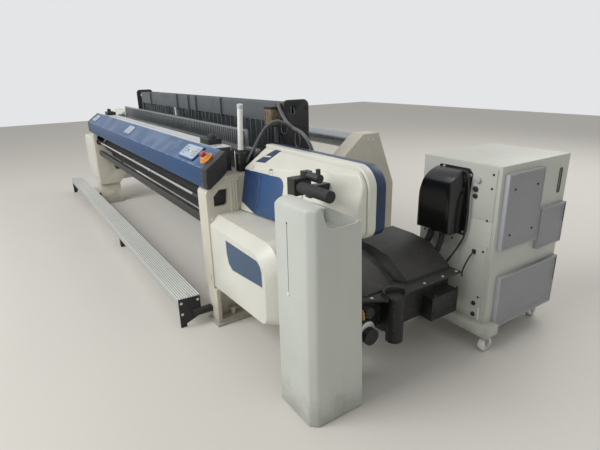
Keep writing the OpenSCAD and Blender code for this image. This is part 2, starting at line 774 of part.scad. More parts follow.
module upper_housing_right() {
    z0 = lower_top_z + 1;
    color("ivory") place() difference() {
        union() {
            difference() {
                intersection() {
                    along_x(outer_x, upper_l) polygon([[upper_back_y, z0],
                        [upper_back_y, upper_top_z], [upper_ridge_y, upper_top_z],
                        [upper_bend_y, upper_bend_z], [upper_front_y, z0]]);
                    hull() {
                        along_y(upper_bend_y - 60, 130) ridge_outline(60);
                        along_y(upper_ridge_y - 40, 15) ridge_outline(step_in);
                    }
                }
                on_face() translate([0, -200, -100]) cube([upper_l + 200, 200, 500]);
            }
            along_y(upper_ridge_y - 25, upper_back_y - upper_ridge_y + 25) ridge_outline(0);
        }
        on_face() {
            along_y(-1, door_t + 2) door_outline(-door_gap);
            for (x = hinge_x) translate([x - 2, -1, door_h - 2]) cube([knuckle_w + 4, 15, 38]);
            along_y(-1, 1 + recess_d) union() {
                translate([540, 14]) square([330, 260]);
                translate([540, 250]) square([264, 72]);
                translate([804, 256]) circle(66);
            }
        }
        translate([outer_x + 22, upper_bend_y, upper_bend_z]) rotate([ridge_slope, 0, 0])
            translate([0, 26, -recess_d]) cube([66, 178, 20]);
        tape_tunnel();
    }
    color("silver") place() on_face() for (x = hinge_x)
        rod_x(x - 3, knuckle_w + 6, door_pin_r, hinge_y, door_pin_z);
}
module access_door() {
    color("royalblue") place() on_face() {
        difference() {
            union() {
                along_y(0, door_t) door_outline(0);
                for (x = hinge_x) {
                    translate([x, 0, door_h - 1]) cube([knuckle_w, door_t, door_pin_z - door_h + 1]);
                    rod_x(x, knuckle_w, knuckle_r, hinge_y, door_pin_z);
                }
            }
            rod_x(50, 250, door_pin_r + running, hinge_y, door_pin_z);
            translate([door_w * 0.43, -1, 4]) cube([2, 2.5, door_h]);
        }
    }
}

// Blue band round the back of the upper housing, with the door's hinge rod
module rear_band() {
    color("royalblue") place() along_y(upper_back_y, band_d) ridge_outline(6);
}

// Selvedge waste bin: an open moulded bin with a closed head and a dip in its right wall
bin_chamfer = 32;
head_d = 65;
mouth_z = 925;
module bin_profile(t) {
    polygon([[bin_y + bin_d - t, t], [bin_y + bin_d - 30 - t, mouth_z - t],
        [bin_y + head_d, bin_h - t], [bin_y + 25, bin_h - t], [bin_y + t, bin_h - 15 - t],
        [bin_y + t, t]]);
}
module waste_bin() {
    color("gainsboro") place() difference() {
        along_x(bin_x, bin_w) bin_profile(0);
        translate([bin_x + bin_w, bin_y, -1]) rotate([0, 0, 45])
            cube([bin_chamfer * sqrt(2), bin_chamfer * sqrt(2), 2 * bin_h + 4], center = true);
        difference() {
            along_x(bin_x + bin_t, bin_w - 2 * bin_t) bin_profile(bin_t);
            translate([bin_x + bin_w - bin_t, bin_y + bin_t, -1]) rotate([0, 0, 45])
                cube([bin_chamfer * sqrt(2), bin_chamfer * sqrt(2), 2 * bin_h + 4], center = true);
        }
        box([bin_x + bin_t + 6, bin_y + head_d + 10, mouth_z - 60],
            [bin_x + bin_w - bin_t - 6, bin_y + bin_d - 30 - bin_t - 6, bin_h + 1]);
        along_x(bin_x + bin_w - bin_t - 8, bin_t + 9) polygon([[bin_y + head_d + 12, bin_h + 1],
            [bin_y + head_d + 22, mouth_z + 20], [bin_y + head_d + 50, mouth_z - 12],
            [bin_y + head_d + 85, mouth_z - 20], [bin_y + bin_d - 50, mouth_z - 8],
            [bin_y + bin_d - 46, mouth_z + 4], [bin_y + head_d + 60, bin_h + 1]]);
        along_y(bin_y - 1, 4) union() {
            translate([bin_x + 97, 610]) square([5, 312]);
            translate([bin_x + 99.5, 922]) circle(6);
            translate([bin_x + 99.5, 606]) circle(9);
        }
    }
}

// Waste take-up: drive block on the housing, and the ribbed roller above the bin
waste_x = bin_x - 96;
waste_len = 225;
waste_y = 175;
waste_z = 1003;
module waste_drive() {
    color("black") place() difference() {
        union() {
            box([waste_x - 60, waste_y - 34, waste_z - 40],
                [waste_x - rest_gap, waste_y + 60, waste_z + 40]);
            box([waste_x - 50, waste_y + 59, waste_z - 66], [waste_x - 10, waste_y + 260, waste_z - 10]);
            rod_x(waste_x - rest_gap - 1, 90, 20, waste_y + 46, waste_z + 46);
            box([waste_x - 40, waste_y + 26, waste_z + 30],
                [waste_x - rest_gap, waste_y + 66, waste_z + 66]);
            translate([waste_x + 74, waste_y + 46, waste_z + 62]) cylinder(h = 26, r = 11);
        }
        rod_x(waste_x - 42, 43, 8 + running, waste_y, waste_z);
        on_face() translate([0, recess_d - rest_gap, -200]) cube([upper_l + 200, 400, 700]);
    }
}
module waste_roller() {
    color("darkslategray") place() {
        along_x(waste_x, waste_len - 6) translate([waste_y, waste_z]) {
            circle(waste_r - 2);
            for (i = [0:11]) rotate(i * 30) translate([0, -3]) square([waste_r - 0.5, 6]);
        }
        rod_x(waste_x + waste_len - 7, 7, waste_r, waste_y, waste_z);
        rod_x(waste_x - 40, 41, 8, waste_y, waste_z);
    }
}

// Dobby: case with its flange on the side frame, upright bearing, motor ends and junction box
dobby_y1 = dobby_y0 + dobby_l;
dobby_left_x = outer_x + 180;
dobby_neck_x = dobby_right_x - 230;
dobby_motor_x = dobby_right_x - 60;
hub_x = dobby_right_x + 10;
hub_y = dobby_y0 + 215;
dobby_neck_y = housing_front_y + lower_d + 22;
module dobby_case() {
    rim = dobby_rim_z;
    color("dimgray") place() {
        box([dobby_left_x, dobby_neck_y, dobby_z0 + 40], [dobby_motor_x, dobby_y1 - 10, rim]);
        box([dobby_neck_x, dobby_y0, dobby_z0 + 90], [dobby_motor_x, dobby_neck_y, rim]);
        box([outer_x, dobby_neck_y + 60, dobby_z0 + 120], [dobby_left_x, dobby_y1 - 80, rim + 120]);
        translate([hub_x, hub_y, dobby_z0 + 25]) cylinder(h = rim - dobby_z0 - 27, r = 44);
        box([dobby_motor_x, hub_y - 40, dobby_z0 + 70], [hub_x, hub_y + 40, rim - 10]);
        translate([hub_x, hub_y, rim - 2]) cylinder(h = 12, r = 46);
        for (a = [-100:40:140])
            translate([hub_x + 37 * cos(a), hub_y + 37 * sin(a), rim + 10]) cylinder(h = 6, r = 6, $fn = 6);
        rod_x(dobby_motor_x, 60, 43, dobby_y0 + 75, dobby_z0 + 82);
        rod_x(dobby_motor_x, 50, 28, dobby_y0 + 70, rim - 50);
        box([dobby_motor_x, dobby_y1 - 220, dobby_z0 + 35],
            [dobby_right_x + 15, dobby_y1 - 15, dobby_z0 + 170]);
    }
}
module dobby_cover() {
    edge_x = dobby_right_x + 12;
    right = dobby_right_x;
    rim = dobby_rim_z;
    color("darkslategray") place() difference() {
        union() {
            translate([0, 0, dobby_rim_z]) linear_extrude(12) union() {
                polygon([[dobby_left_x, dobby_neck_y], [dobby_neck_x, dobby_neck_y],
                    [dobby_neck_x, dobby_y0],
                    [dobby_right_x - 70, dobby_y0], [dobby_right_x - 20, dobby_y0 + 100],
                    [edge_x, dobby_y0 + 140], [edge_x, dobby_y1],
                    [dobby_left_x, dobby_y1]]);
                translate([hub_x, hub_y]) circle(76);
            }
            along_y(dobby_neck_y + 2, dobby_y1 - dobby_neck_y - 14) polygon([
                [right - 110, rim + 11], [right - 120, rim + 22], [right - 260, rim + 92],
                [right - 360, rim + 108], [dobby_left_x + 12, rim + 105], [dobby_left_x + 12, rim + 11]]);
            hull() {
                along_y(dobby_y0 + 308, 1) polygon([[right - 480, rim + 20], [right - 140, rim + 20],
                    [right - 200, rim + 60], [right - 480, rim + 60]]);
                along_y(dobby_y0 + 345, 330) polygon([[right - 490, rim + 12], [right - 44, rim + 12],
                    [right - 44, rim + 34], [right - 190, rim + 126], [right - 320, rim + 143],
                    [right - 490, rim + 143]]);
            }
            hull() {
                along_y(dobby_y0 + 12, 1) polygon([[right - 100, rim + 12], [right - 130, rim + 30],
                    [right - 225, rim + 38], [right - 225, rim + 12]]);
                along_y(dobby_y0 + 90, 160) polygon([[right - 60, rim + 12], [right - 60, rim + 22],
                    [right - 160, rim + 88], [right - 240, rim + 110], [right - 360, rim + 108],
                    [right - 360, rim + 12]]);
            }
            translate([hub_x - 6, hub_y, dobby_rim_z + 2]) cylinder(h = 34, r1 = 72, r2 = 62);
        }
        translate([0, 0, dobby_rim_z - 1]) linear_extrude(200) union() {
            translate([hub_x + 6, hub_y - 6]) circle(56);
            translate([hub_x + 12, hub_y - 90]) square([120, 180]);
        }
        box([dobby_left_x - 1, dobby_y0 - 61, 300], [dobby_neck_x + 1, dobby_neck_y, 620]);
    }
}

// Left end housings
left_l = 560;
left_split_z = 800;
module lower_housing_left() {
    color("gainsboro") place() {
        along_y(housing_front_y, 420) polygon([[-outer_x, lower_z0], [-outer_x, left_split_z],
            [-outer_x - left_l + 60, left_split_z], [-outer_x - left_l, left_split_z - 60],
            [-outer_x - left_l, lower_z0]]);
    }
}
module upper_housing_left() {
    color("ivory") place() difference() {
        along_x(-outer_x - left_l, left_l) polygon([[housing_front_y + 421, left_split_z + 1],
            [housing_front_y + 421, left_split_z - 240], [upper_back_y + 40, left_split_z - 240],
            [upper_back_y + 40, upper_top_z], [upper_ridge_y, upper_top_z],
            [upper_bend_y, upper_bend_z], [upper_front_y, left_split_z + 1]]);
        mirror([1, 0, 0]) tape_tunnel();
        translate([-outer_x - left_l, 0, upper_top_z]) rotate([0, 45, 0])
            cube([90, 2000, 90], center = true);
    }
}

// Lamp tube in its holder on the frame's crest
lamp_x = outer_x - 80;
lamp_y = 275;
module lamp_post() {
    color("silver") place() {
        box([lamp_x - 30, lamp_y - 30, crest_z - 2.3], [lamp_x + 30, lamp_y + 30, crest_z + 114]);
        translate([lamp_x, lamp_y, crest_z + 110]) rotate([0, 6, 0]) cylinder(h = 285, r = 18);
    }
}

// Control cabinet with a side door, raised screens and the moulded cover of its drive
seam = 3;
slot_y = cab_y + cab_d - 75;
module cabinet_body() {
    color("lightgray") place() difference() {
        box([cab_x, cab_y, cab_z0], [cab_x + cab_w, cab_y + cab_d, cab_top_z]);
        box([cab_x + cab_w - 14, slot_y - 13, cab_top_z - 215],
            [cab_x + cab_w + 1, slot_y + 13, cab_top_z - 75]);
        box([cab_x + cab_w - 160, cab_y - 1, 740], [cab_x + cab_w - 20, cab_y + seam, 743]);
        box([cab_x + cab_w - 24, cab_y - 1, cab_z0 + 30],
            [cab_x + cab_w - 21, cab_y + seam, cab_top_z - 20]);
    }
}
screen_t = 26;
module screen(y0, y1, z0, z1) {
    difference() {
        box([cab_x + cab_w, y0, z0], [cab_x + cab_w + screen_t, y1, z1]);
        for (y = [y0 + 16:14:y1 - 22])
            box([cab_x + cab_w + screen_t - 2, y, z0 + 14], [cab_x + cab_w + screen_t + 1, y + 6, z1 - 14]);
    }
}
module lint_screens() {
    color("gainsboro") place() {
        screen(cab_y + 26, cab_y + 352, 590, 995);
        screen(cab_y + 380, cab_y + cab_d - 8, 520, 760);
        screen(cab_y + 60, cab_y + cab_d - 8, cab_z0 - 35, 428);
    }
}
cover_d = 108;
cover_x0 = cab_x + 36;
cover_x1 = cab_x + 308;
cover_z0 = 640;
cover_z1 = 1000;
cover_r = 55;
module drive_cover() {
    y1 = cab_y - rest_gap;
    color("black") place() {
        intersection() {
            along_x(cover_x0 - 20, 360) union() {
                polygon([[y1, cover_z0], [y1, cover_z1 - 10], [y1 - cover_d + 84, cover_z1 - 10],
                    [y1 - cover_d + 84, cover_z1 - 94], [y1 - cover_d, cover_z1 - 94],
                    [y1 - cover_d, cover_z0 + 10], [y1 - cover_d + 12, cover_z0]]);
                translate([y1 - cover_d + 84, cover_z1 - 94]) circle(84);
            }
            along_y(y1 - cover_d - 1, cover_d + 1) polygon([[cover_x1 - 22, cover_z0],
                [cover_x1 - 6, cover_z0 + 200], [cover_x1, cover_z1 - 50], [cover_x1 - 30, cover_z1],
                [cover_x0 + 90, cover_z1], [cover_x0 + 62, cover_z1 - 60],
                [cover_x0 + 24, cover_z0 + 200], [cover_x0, cover_z0]]);
            translate([(cover_x0 + cover_x1) / 2, y1 + 10, 0]) linear_extrude(1200)
                rounded(cover_x1 - cover_x0, 2 * cover_d + 20, cover_r);
        }
        along_y(y1 - 6, 6) polygon([[cover_x0 + 20, cover_z0 + 20], [cover_x1 - 50, cover_z0 - 12],
            [cover_x1 + 4, cover_z0 - 10], [cover_x1 + 22, cover_z1 - 24], [cover_x1, cover_z1],
            [cover_x0 + 86, cover_z1], [cover_x0 + 60, cover_z1 - 30]]);
    }
}
fork_gap = 1;
wheel_t = 32;
axle_r = 6;
front_caster_y = cab_y - 8;
rear_caster_y = cab_y + cab_d - 55;
front_caster_x = [cab_x + 50, plinth_x1 - 38];
rear_caster_x = [cab_x + 50, cab_x + cab_w - 60];
plinth_z0 = cab_z0 - plinth_h;
trail = 14;
module cabinet_plinth() {
    color("lightgray") place() difference() {
        union() {
            box([cab_x - 5, cab_y - 43, plinth_z0], [plinth_x1, cab_y + 58, cab_z0]);
            box([cab_x - 5, cab_y + cab_d - 120, plinth_z0], [cab_x + cab_w, cab_y + cab_d, cab_z0]);
            for (x = [cab_x + 20, cab_x + cab_w - 60])
                box([x, cab_y + 57, plinth_z0], [x + 40, cab_y + cab_d - 119, cab_z0]);
            for (x = rear_caster_x, s = [-1, 1])
                box([x + s * (wheel_t / 2 + fork_gap + 3) - 3, rear_caster_y - 14, caster_r - 14],
                    [x + s * (wheel_t / 2 + fork_gap + 3) + 3, rear_caster_y + 14, plinth_z0 + 1]);
        }
        for (x = front_caster_x)
            translate([x, front_caster_y, plinth_z0 - 1]) cylinder(h = 31, r = 8 + running);
        for (x = rear_caster_x) rod_x(x - 40, 80, axle_r + running, rear_caster_y, caster_r);
    }
}
module caster_fork(x) {
    difference() {
        union() {
            translate([x, front_caster_y, plinth_z0 - 8]) cylinder(h = 36, r = 8);
            translate([x, front_caster_y, plinth_z0 - 8]) cylinder(h = 8 - rest_gap, r = 22);
            for (s = [-1, 1])
                along_x(x + s * (wheel_t / 2 + fork_gap + 3) - 3, 6) polygon([
                    [front_caster_y + trail - 11, caster_r - 8],
                    [front_caster_y + trail + 11, caster_r - 8],
                    [front_caster_y + 14, plinth_z0 - 2], [front_caster_y - 14, plinth_z0 - 2]]);
            box([x - 20, front_caster_y - 12, plinth_z0 - 8], [x + 20, front_caster_y + 12, plinth_z0 - 2]);
        }
        rod_x(x - 40, 80, axle_r + running, front_caster_y + trail, caster_r);
    }
}
module caster_wheel(x, y) {
    rod_x(x - wheel_t / 2, wheel_t, caster_r, y, caster_r);
    rod_x(x - wheel_t / 2 - 8, wheel_t + 16, axle_r, y, caster_r);
}
module caster_fork_right() { color("silver") place() caster_fork(front_caster_x[1]); }
module caster_fork_left() { color("silver") place() caster_fork(front_caster_x[0]); }
module caster_wheel_front_right() {
    color("white") place() caster_wheel(front_caster_x[1], front_caster_y + trail);
}
module caster_wheel_front_left() {
    color("white") place() caster_wheel(front_caster_x[0], front_caster_y + trail);
}
module caster_wheel_rear_right() { color("white") place() caster_wheel(rear_caster_x[1], rear_caster_y); }
module caster_wheel_rear_left() { color("white") place() caster_wheel(rear_caster_x[0], rear_caster_y); }

// Walkway plank: a ribbed extrusion on end plates and feet
plank_t = 58;
module plank() {
    rib = plank_w / (2 * plank_ribs + 1);
    color("lightgray") place() along_x(plank_left_x, plank_l) {
        translate([plank_y, plank_z - 4 - plank_t]) square([plank_w, plank_t]);
        for (i = [0:plank_ribs]) translate([plank_y + (2 * i) * rib, plank_z - 5]) square([rib, 5]);
    }
}
arm_x = half_w + foot_shift + 40;
module plank_ends() {
    under = plank_z - 4 - plank_t - rest_gap;
    color("black") place() {
        for (x = [plank_left_x - cap_plate, plank_right_x])
            along_x(x, cap_plate) polygon([[plank_y, 0], [plank_y + 40, 0], [plank_y + 40, 20],
                [plank_y + plank_w, 60], [plank_y + plank_w, plank_z - 8], [plank_y, plank_z]]);
        box([plank_right_x, plank_y + plank_w - 60, 70], [plank_right_x + 36, -rest_gap, 106]);
        box([-arm_x - 36, plank_y + 20, under - 40], [-arm_x, -rest_gap, under]);
        box([-40, plank_y + 30, 0], [0, plank_y + plank_w - 30, under - 7]);
        box([-60, plank_y + 10, under - 8], [20, plank_y + plank_w - 10, under]);
    }
}

side_frame_right();
side_frame_left();
feet();
breast_beam();
cross_beams();
hood_cover();
hood_caps();
cloth_table();
keypads();
start_button();
stop_button();
slow_button();
emergency_base();
emergency_button();
guide_rod();
guide_sockets();
take_up_roller();
press_roller();
sley();
reed();
temples();
rapier_right();
rapier_left();
rapier_guides();
heald_frame_1();
heald_frame_2();
heald_frame_3();
heald_frame_4();
heald_frame_5();
heald_frame_6();
harness_guides();
back_rest_roller();
warp_beam();
let_off_pinion();
let_off_gearbox();
lower_housing_right();
badge_plate();
upper_housing_right();
access_door();
rear_band();
waste_bin();
waste_roller();
waste_drive();
dobby_case();
dobby_cover();
lower_housing_left();
upper_housing_left();
lamp_post();
cabinet_body();
lint_screens();
drive_cover();
cabinet_plinth();
caster_fork_right();
caster_fork_left();
caster_wheel_front_right();
caster_wheel_front_left();
caster_wheel_rear_right();
caster_wheel_rear_left();
plank();
plank_ends();
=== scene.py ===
"""Looks of the wide rapier loom: rounded skins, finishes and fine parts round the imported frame."""

from __future__ import annotations

import json
import logging
import math
from dataclasses import dataclass, field
from enum import Enum
from typing import Optional, Sequence, Union

import bmesh
import bpy
from mathutils import Matrix, Vector

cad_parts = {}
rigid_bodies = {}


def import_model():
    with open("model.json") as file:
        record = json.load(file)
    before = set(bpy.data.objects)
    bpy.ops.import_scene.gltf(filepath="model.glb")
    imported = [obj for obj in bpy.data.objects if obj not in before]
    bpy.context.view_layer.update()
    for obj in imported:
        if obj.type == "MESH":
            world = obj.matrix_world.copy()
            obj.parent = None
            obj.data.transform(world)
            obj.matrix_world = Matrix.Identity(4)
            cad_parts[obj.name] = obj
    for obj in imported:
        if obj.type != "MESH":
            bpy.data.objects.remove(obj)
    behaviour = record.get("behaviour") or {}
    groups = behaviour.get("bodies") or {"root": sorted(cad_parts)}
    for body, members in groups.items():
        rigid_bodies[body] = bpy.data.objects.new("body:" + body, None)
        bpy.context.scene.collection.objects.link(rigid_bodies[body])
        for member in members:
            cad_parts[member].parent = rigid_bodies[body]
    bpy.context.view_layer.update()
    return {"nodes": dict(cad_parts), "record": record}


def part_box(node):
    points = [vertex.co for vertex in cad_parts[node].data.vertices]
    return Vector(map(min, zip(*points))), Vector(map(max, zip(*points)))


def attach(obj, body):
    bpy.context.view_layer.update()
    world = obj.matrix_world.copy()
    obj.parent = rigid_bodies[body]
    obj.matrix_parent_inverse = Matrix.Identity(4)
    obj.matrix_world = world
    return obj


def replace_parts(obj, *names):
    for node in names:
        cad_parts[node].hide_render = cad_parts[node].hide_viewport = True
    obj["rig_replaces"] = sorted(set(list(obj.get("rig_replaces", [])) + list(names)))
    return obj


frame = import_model()

LOG = logging.getLogger("loom")
Colour = tuple[float, float, float]
Point = Sequence[float]
# The part frame's origin in loom coordinates, in metres.
ORIGIN = Vector((0.192, 0.764, 0.0))
# The outer face of the right side frame, in loom millimetres.
OUTER_X = 1780.0
# Points closer than this, in millimetres, are one.
WELD = 0.01
# Edges that bend less than this, in radians, are dissolved before a form is cut or rounded.
FLAT_BEND = 0.02
# Edges that bend more than this, in degrees, are rounded, unless a call says otherwise.
SHARP_BEND = 28.0
# The same for the bevel that a piece gets when it is done.
BEVEL_BEND = 25.0
# Edges that bend more than this, in degrees, are shaded sharp.
SHADE_BEND = 42.0


def at(x: float, y: float, z: float) -> Vector:
    """A place in millimetres from the loom's middle, as metres in the part's frame."""
    return Vector((x, y, z)) * 0.001 - ORIGIN


def srgb(text: str) -> Colour:
    """The linear colour of a six-digit screen colour."""
    parts = [int(text[i : i + 2], 16) / 255 for i in (0, 2, 4)]
    red, green, blue = (p / 12.92 if p <= 0.04045 else ((p + 0.055) / 1.055) ** 2.4 for p in parts)
    return red, green, blue


class Axis(Enum):
    """The direction that a finish or a turned piece follows."""

    X = 0
    Y = 1
    Z = 2


Value = Union[float, "Signal"]


class Signal:
    """An output socket that Python's operators work on."""

    def __init__(self, web: "Web", socket: bpy.types.NodeSocket) -> None:
        """Wraps one socket of a web."""
        self.web = web
        self.socket = socket

    def __add__(self, other: Value) -> "Signal":
        """Sum."""
        return self.web.maths("ADD", self, other)

    __radd__ = __add__

    def __sub__(self, other: Value) -> "Signal":
        """Difference."""
        return self.web.maths("SUBTRACT", self, other)

    def __rsub__(self, other: Value) -> "Signal":
        """Difference from a plain number."""
        return self.web.maths("SUBTRACT", other, self)

    def __mul__(self, other: Value) -> "Signal":
        """Product."""
        return self.web.maths("MULTIPLY", self, other)

    __rmul__ = __mul__

    def __truediv__(self, other: Value) -> "Signal":
        """Quotient."""
        return self.web.maths("DIVIDE", self, other)

    def step(self, low: float, high: float) -> "Signal":
        """A smooth rise from 0 at low to 1 at high."""
        return self.web.add(
            "ShaderNodeMapRange",
            {"interpolation_type": "SMOOTHSTEP"},
            {"Value": self, "From Min": low, "From Max": high},
        )


class Web:
    """A node tree, of a material or of geometry, with one way to add any node."""

    def __init__(self, tree: bpy.types.NodeTree) -> None:
        """Starts on an empty tree."""
        self.tree = tree
        tree.nodes.clear()

    def node(
        self, kind: str, settings: Optional[dict] = None, values: Optional[dict] = None
    ) -> bpy.types.Node:
        """Adds one node.

        Args:
            kind: The node's type.
            settings: Its settings, set first.
            values: Its sockets by name or number, each a plain value or a Signal.

        Returns:
            The node.
        """
        made = self.tree.nodes.new(kind)
        for name, value in (settings or {}).items():
            setattr(made, name, value)
        for key, value in (values or {}).items():
            socket = made.inputs[key]
            if isinstance(value, Signal):
                self.tree.links.new(value.socket, socket)
            elif isinstance(value, tuple) and len(value) == 3 and socket.type == "RGBA":
                socket.default_value = (*value, 1.0)
            else:
                socket.default_value = value
        return made

    def add(
        self,
        kind: str,
        settings: Optional[dict] = None,
        values: Optional[dict] = None,
        out: Union[int, str] = 0,
    ) -> Signal:
        """Adds one node and gives one of its outputs.

        Args:
            kind: The node's type.
            settings: Its settings.
            values: Its sockets.
            out: The output, by number or name.

        Returns:
            The output as a Signal.
        """
        return Signal(self, self.node(kind, settings, values).outputs[out])

    def maths(self, operation: str, *values: Value) -> Signal:
        """One Math node."""
        return self.add("ShaderNodeMath", {"operation": operation}, dict(enumerate(values)))


class Skin(Web):
    """The node tree of one material, on object coordinates."""

    def __init__(self, name: str) -> None:
        """Makes the material and its coordinates."""
        self.material = bpy.data.materials.new(name)
        self.material.use_nodes = True
        super().__init__(self.material.node_tree)
        self.place = self.add("ShaderNodeTexCoord", out="Object")
        self.split = self.node("ShaderNodeSeparateXYZ", values={0: self.place})

    def axis(self, axis: Axis) -> Signal:
        """One object coordinate, in metres."""
        return Signal(self, self.split.outputs[axis.value])

    def noise(
        self, size: float, detail: float = 3.0, stretch: Point = (1, 1, 1), shift: float = 0.0
    ) -> Signal:
        """Cloudy noise.

        Args:
            size: Clouds per metre.
            detail: Octaves.
            stretch: Scale of each axis.
            shift: Moves the pattern.

        Returns:
            A value of about 0.2 to 0.8.
        """
        moved = self.add(
            "ShaderNodeMapping",
            values={0: self.place, "Location": (shift, shift * 0.7, shift * 1.3), "Scale": tuple(stretch)},
        )
        return self.add(
            "ShaderNodeTexNoise", values={"Vector": moved, "Scale": size, "Detail": detail, "Roughness": 0.55}
        )

    def specks(self, size: float, share: float) -> Signal:
        """Small irregular spots that cover about that share of the surface."""
        return (1.0 - self.noise(size, 4.0, shift=3.7)).step(0.62 - share * 0.35, 0.7 - share * 0.3)

    def up(self) -> Signal:
        """How far the surface looks up, from 0 to 1."""
        normal = self.add("ShaderNodeTexCoord", out="Normal")
        z = self.node("ShaderNodeSeparateXYZ", values={0: normal})
        return Signal(self, z.outputs[2]).step(0.35, 0.95)

    def edge(self) -> Signal:
        """1 on the rounded edges of a skin, else 0."""
        return self.add("ShaderNodeAttribute", {"attribute_name": "edge"}, out="Fac")

    def mix(self, share: Value, low: Union[Colour, Signal], high: Union[Colour, Signal]) -> Signal:
        """A blend of two colours."""
        return self.add(
            "ShaderNodeMix", {"data_type": "RGBA"}, {0: share, 6: low, 7: high}, out=2
        )

    def finish(
        self,
        colour: Union[Colour, Signal],
        roughness: Value,
        metallic: Value = 0.0,
        bumps: Sequence[tuple[Signal, float, float]] = (),
        **constants: float,
    ) -> bpy.types.Material:
        """Ends the material in one Principled shader.

        Args:
            colour: Base colour.
            roughness: Roughness.
            metallic: Metallic.
            bumps: Height, strength and distance of each Bump node, coarse to fine.
            constants: Other sockets, underscores for blanks, plain numbers.

        Returns:
            The material.
        """
        values: dict = {"Base Color": colour, "Roughness": roughness, "Metallic": metallic}
        values.update({name.replace("_", " "): number for name, number in constants.items()})
        normal: Optional[Signal] = None
        for height, strength, distance in bumps:
            sockets: dict = {"Height": height, "Strength": strength, "Distance": distance}
            if normal is not None:
                sockets["Normal"] = normal
            normal = self.add("ShaderNodeBump", values=sockets)
        if normal is not None:
            values["Normal"] = normal
        shader = self.add("ShaderNodeBsdfPrincipled", values=values)
        self.node("ShaderNodeOutputMaterial", values={0: shader})
        return self.material


@dataclass(frozen=True)
class Coating:
    """A painted, moulded or cast skin with drift, grain, dust, grime and worn edges; on some finishes the
    pale dust on the tops is partly a painted sheen and the pale worn edges are partly a painted highlight.
    """

    name: str
    colour: Colour
    roughness: float = 0.45
    drift: float = 0.12
    drift_size: float = 2.5
    grain: float = 0.12
    grain_size: float = 700.0
    # Paleness on the faces that look up: real dust, and on some finishes partly a painted sheen.
    dust_and_sheen: float = 0.25
    dust_and_sheen_colour: Colour = srgb("b3aa9a")
    grime: float = 0.0
    grime_height: float = 0.35
    grime_colour: Colour = srgb("4a4338")
    # Pale rounded edges: real wear, and on some finishes partly a painted highlight.
    wear_and_highlight: float = 0.0
    bare_and_highlight: Colour = srgb("8a8780")
    speckle: float = 0.0
    speckle_colour: Colour = srgb("3a342c")
    coat: float = 0.0
    streaks: float = 0.0

    def make(self) -> bpy.types.Material:
        """Builds the material."""
        skin = Skin(self.name)
        cloud = skin.noise(self.drift_size, 4.0)
        fine = skin.noise(self.grain_size, 2.0)
        dark: Colour = tuple(c * (1 - self.drift) for c in self.colour)
        light: Colour = tuple(min(1.0, c * (1 + self.drift * 0.6)) for c in self.colour)
        colour = skin.mix(cloud.step(0.3, 0.7), dark, light)
        roughness: Value = self.roughness + (cloud - 0.5) * 0.25
        if self.streaks:
            streak = skin.noise(9.0, 4.0, (1.0, 1.0, 0.08), 1.9).step(0.5, 0.75) * self.streaks
            colour = skin.mix(streak, colour, tuple(c * 0.62 for c in self.colour))
        if self.speckle:
            spots = skin.specks(55.0, self.speckle)
            colour = skin.mix(spots * 0.8, colour, self.speckle_colour)
        if self.grime:
            low = (1.0 - skin.axis(Axis.Z) / self.grime_height) * 0.9 + (skin.noise(14.0, 5.0) - 0.5)
            colour = skin.mix(low.step(0.25, 1.0) * self.grime, colour, self.grime_colour)
        # The tops turn towards the dust colour: real dust, and on some finishes a painted sheen as well.
        if self.dust_and_sheen:
            dust_and_sheen_veil = skin.up() * (skin.noise(6.0, 5.0, shift=0.6).step(0.3, 0.75) * 0.7 + 0.3) * self.dust_and_sheen
            colour = skin.mix(dust_and_sheen_veil, colour, self.dust_and_sheen_colour)
            roughness = roughness + dust_and_sheen_veil * 0.3
        # The rounded edges turn towards the bare colour: real wear, and on some finishes a painted highlight
        # as well.
        if self.wear_and_highlight:
            edge_wear_and_highlight = skin.edge() * skin.noise(38.0, 4.0, shift=0.2).step(0.62 - self.wear_and_highlight * 0.3, 0.7)
            colour = skin.mix(edge_wear_and_highlight, colour, self.bare_and_highlight)
            roughness = roughness + edge_wear_and_highlight * 0.1
        return skin.finish(
            colour,
            roughness,
            bumps=[(cloud, 0.12, 0.004), (fine, self.grain, 0.0006)],
            Coat_Weight=self.coat,
            Coat_Roughness=0.12,
        )


@dataclass(frozen=True)
class Metal:
    """A bare metal, brushed along an axis or turned round one."""

    name: str
    colour: Colour
    roughness: float = 0.32
    axis: Axis = Axis.X
    brush: float = 0.35
    turned: bool = False
    stain: float = 0.2
    stain_colour: Colour = srgb("5d564b")
    metallic: float = 0.92

    def make(self) -> bpy.types.Material:
        """Builds the material."""
        skin = Skin(self.name)
        stretch = [1.0, 1.0, 1.0]
        if self.turned:
            stretch = [0.02, 0.02, 0.02]
            stretch[self.axis.value] = 1.0
        else:
            stretch[self.axis.value] = 0.015
        lines = skin.noise(650.0, 3.0, stretch)
        cloud = skin.noise(5.0, 5.0, shift=2.2)
        dark: Colour = tuple(c * 0.78 for c in self.colour)
        colour = skin.mix(lines.step(0.3, 0.7), dark, self.colour)
        colour = skin.mix(cloud.step(0.5, 0.75) * self.stain, colour, self.stain_colour)
        rough = self.roughness + (lines - 0.5) * 0.3 + cloud.step(0.45, 0.8) * 0.18
        return skin.finish(colour, rough, self.metallic, [(lines, self.brush * 0.35, 0.0003)])


@dataclass(frozen=True)
class Rubber:
    """A dull black rubber or grip covering with fine knurls."""

    name: str
    colour: Colour = srgb("232425")
    knurl: float = 260.0

    def make(self) -> bpy.types.Material:
        """Builds the material."""
        skin = Skin(self.name)
        cloud = skin.noise(8.0, 5.0)
        cells = skin.add(
            "ShaderNodeTexVoronoi", values={"Vector": skin.place, "Scale": self.knurl}, out="Distance"
        )
        light: Colour = tuple(c * 1.9 + 0.01 for c in self.colour)
        colour = skin.mix(cloud.step(0.35, 0.8) * 0.6 + skin.up() * 0.25, self.colour, light)
        return skin.finish(colour, 0.72 + (cloud - 0.5) * 0.2, 0.0, [(cells, 0.4, 0.001)])


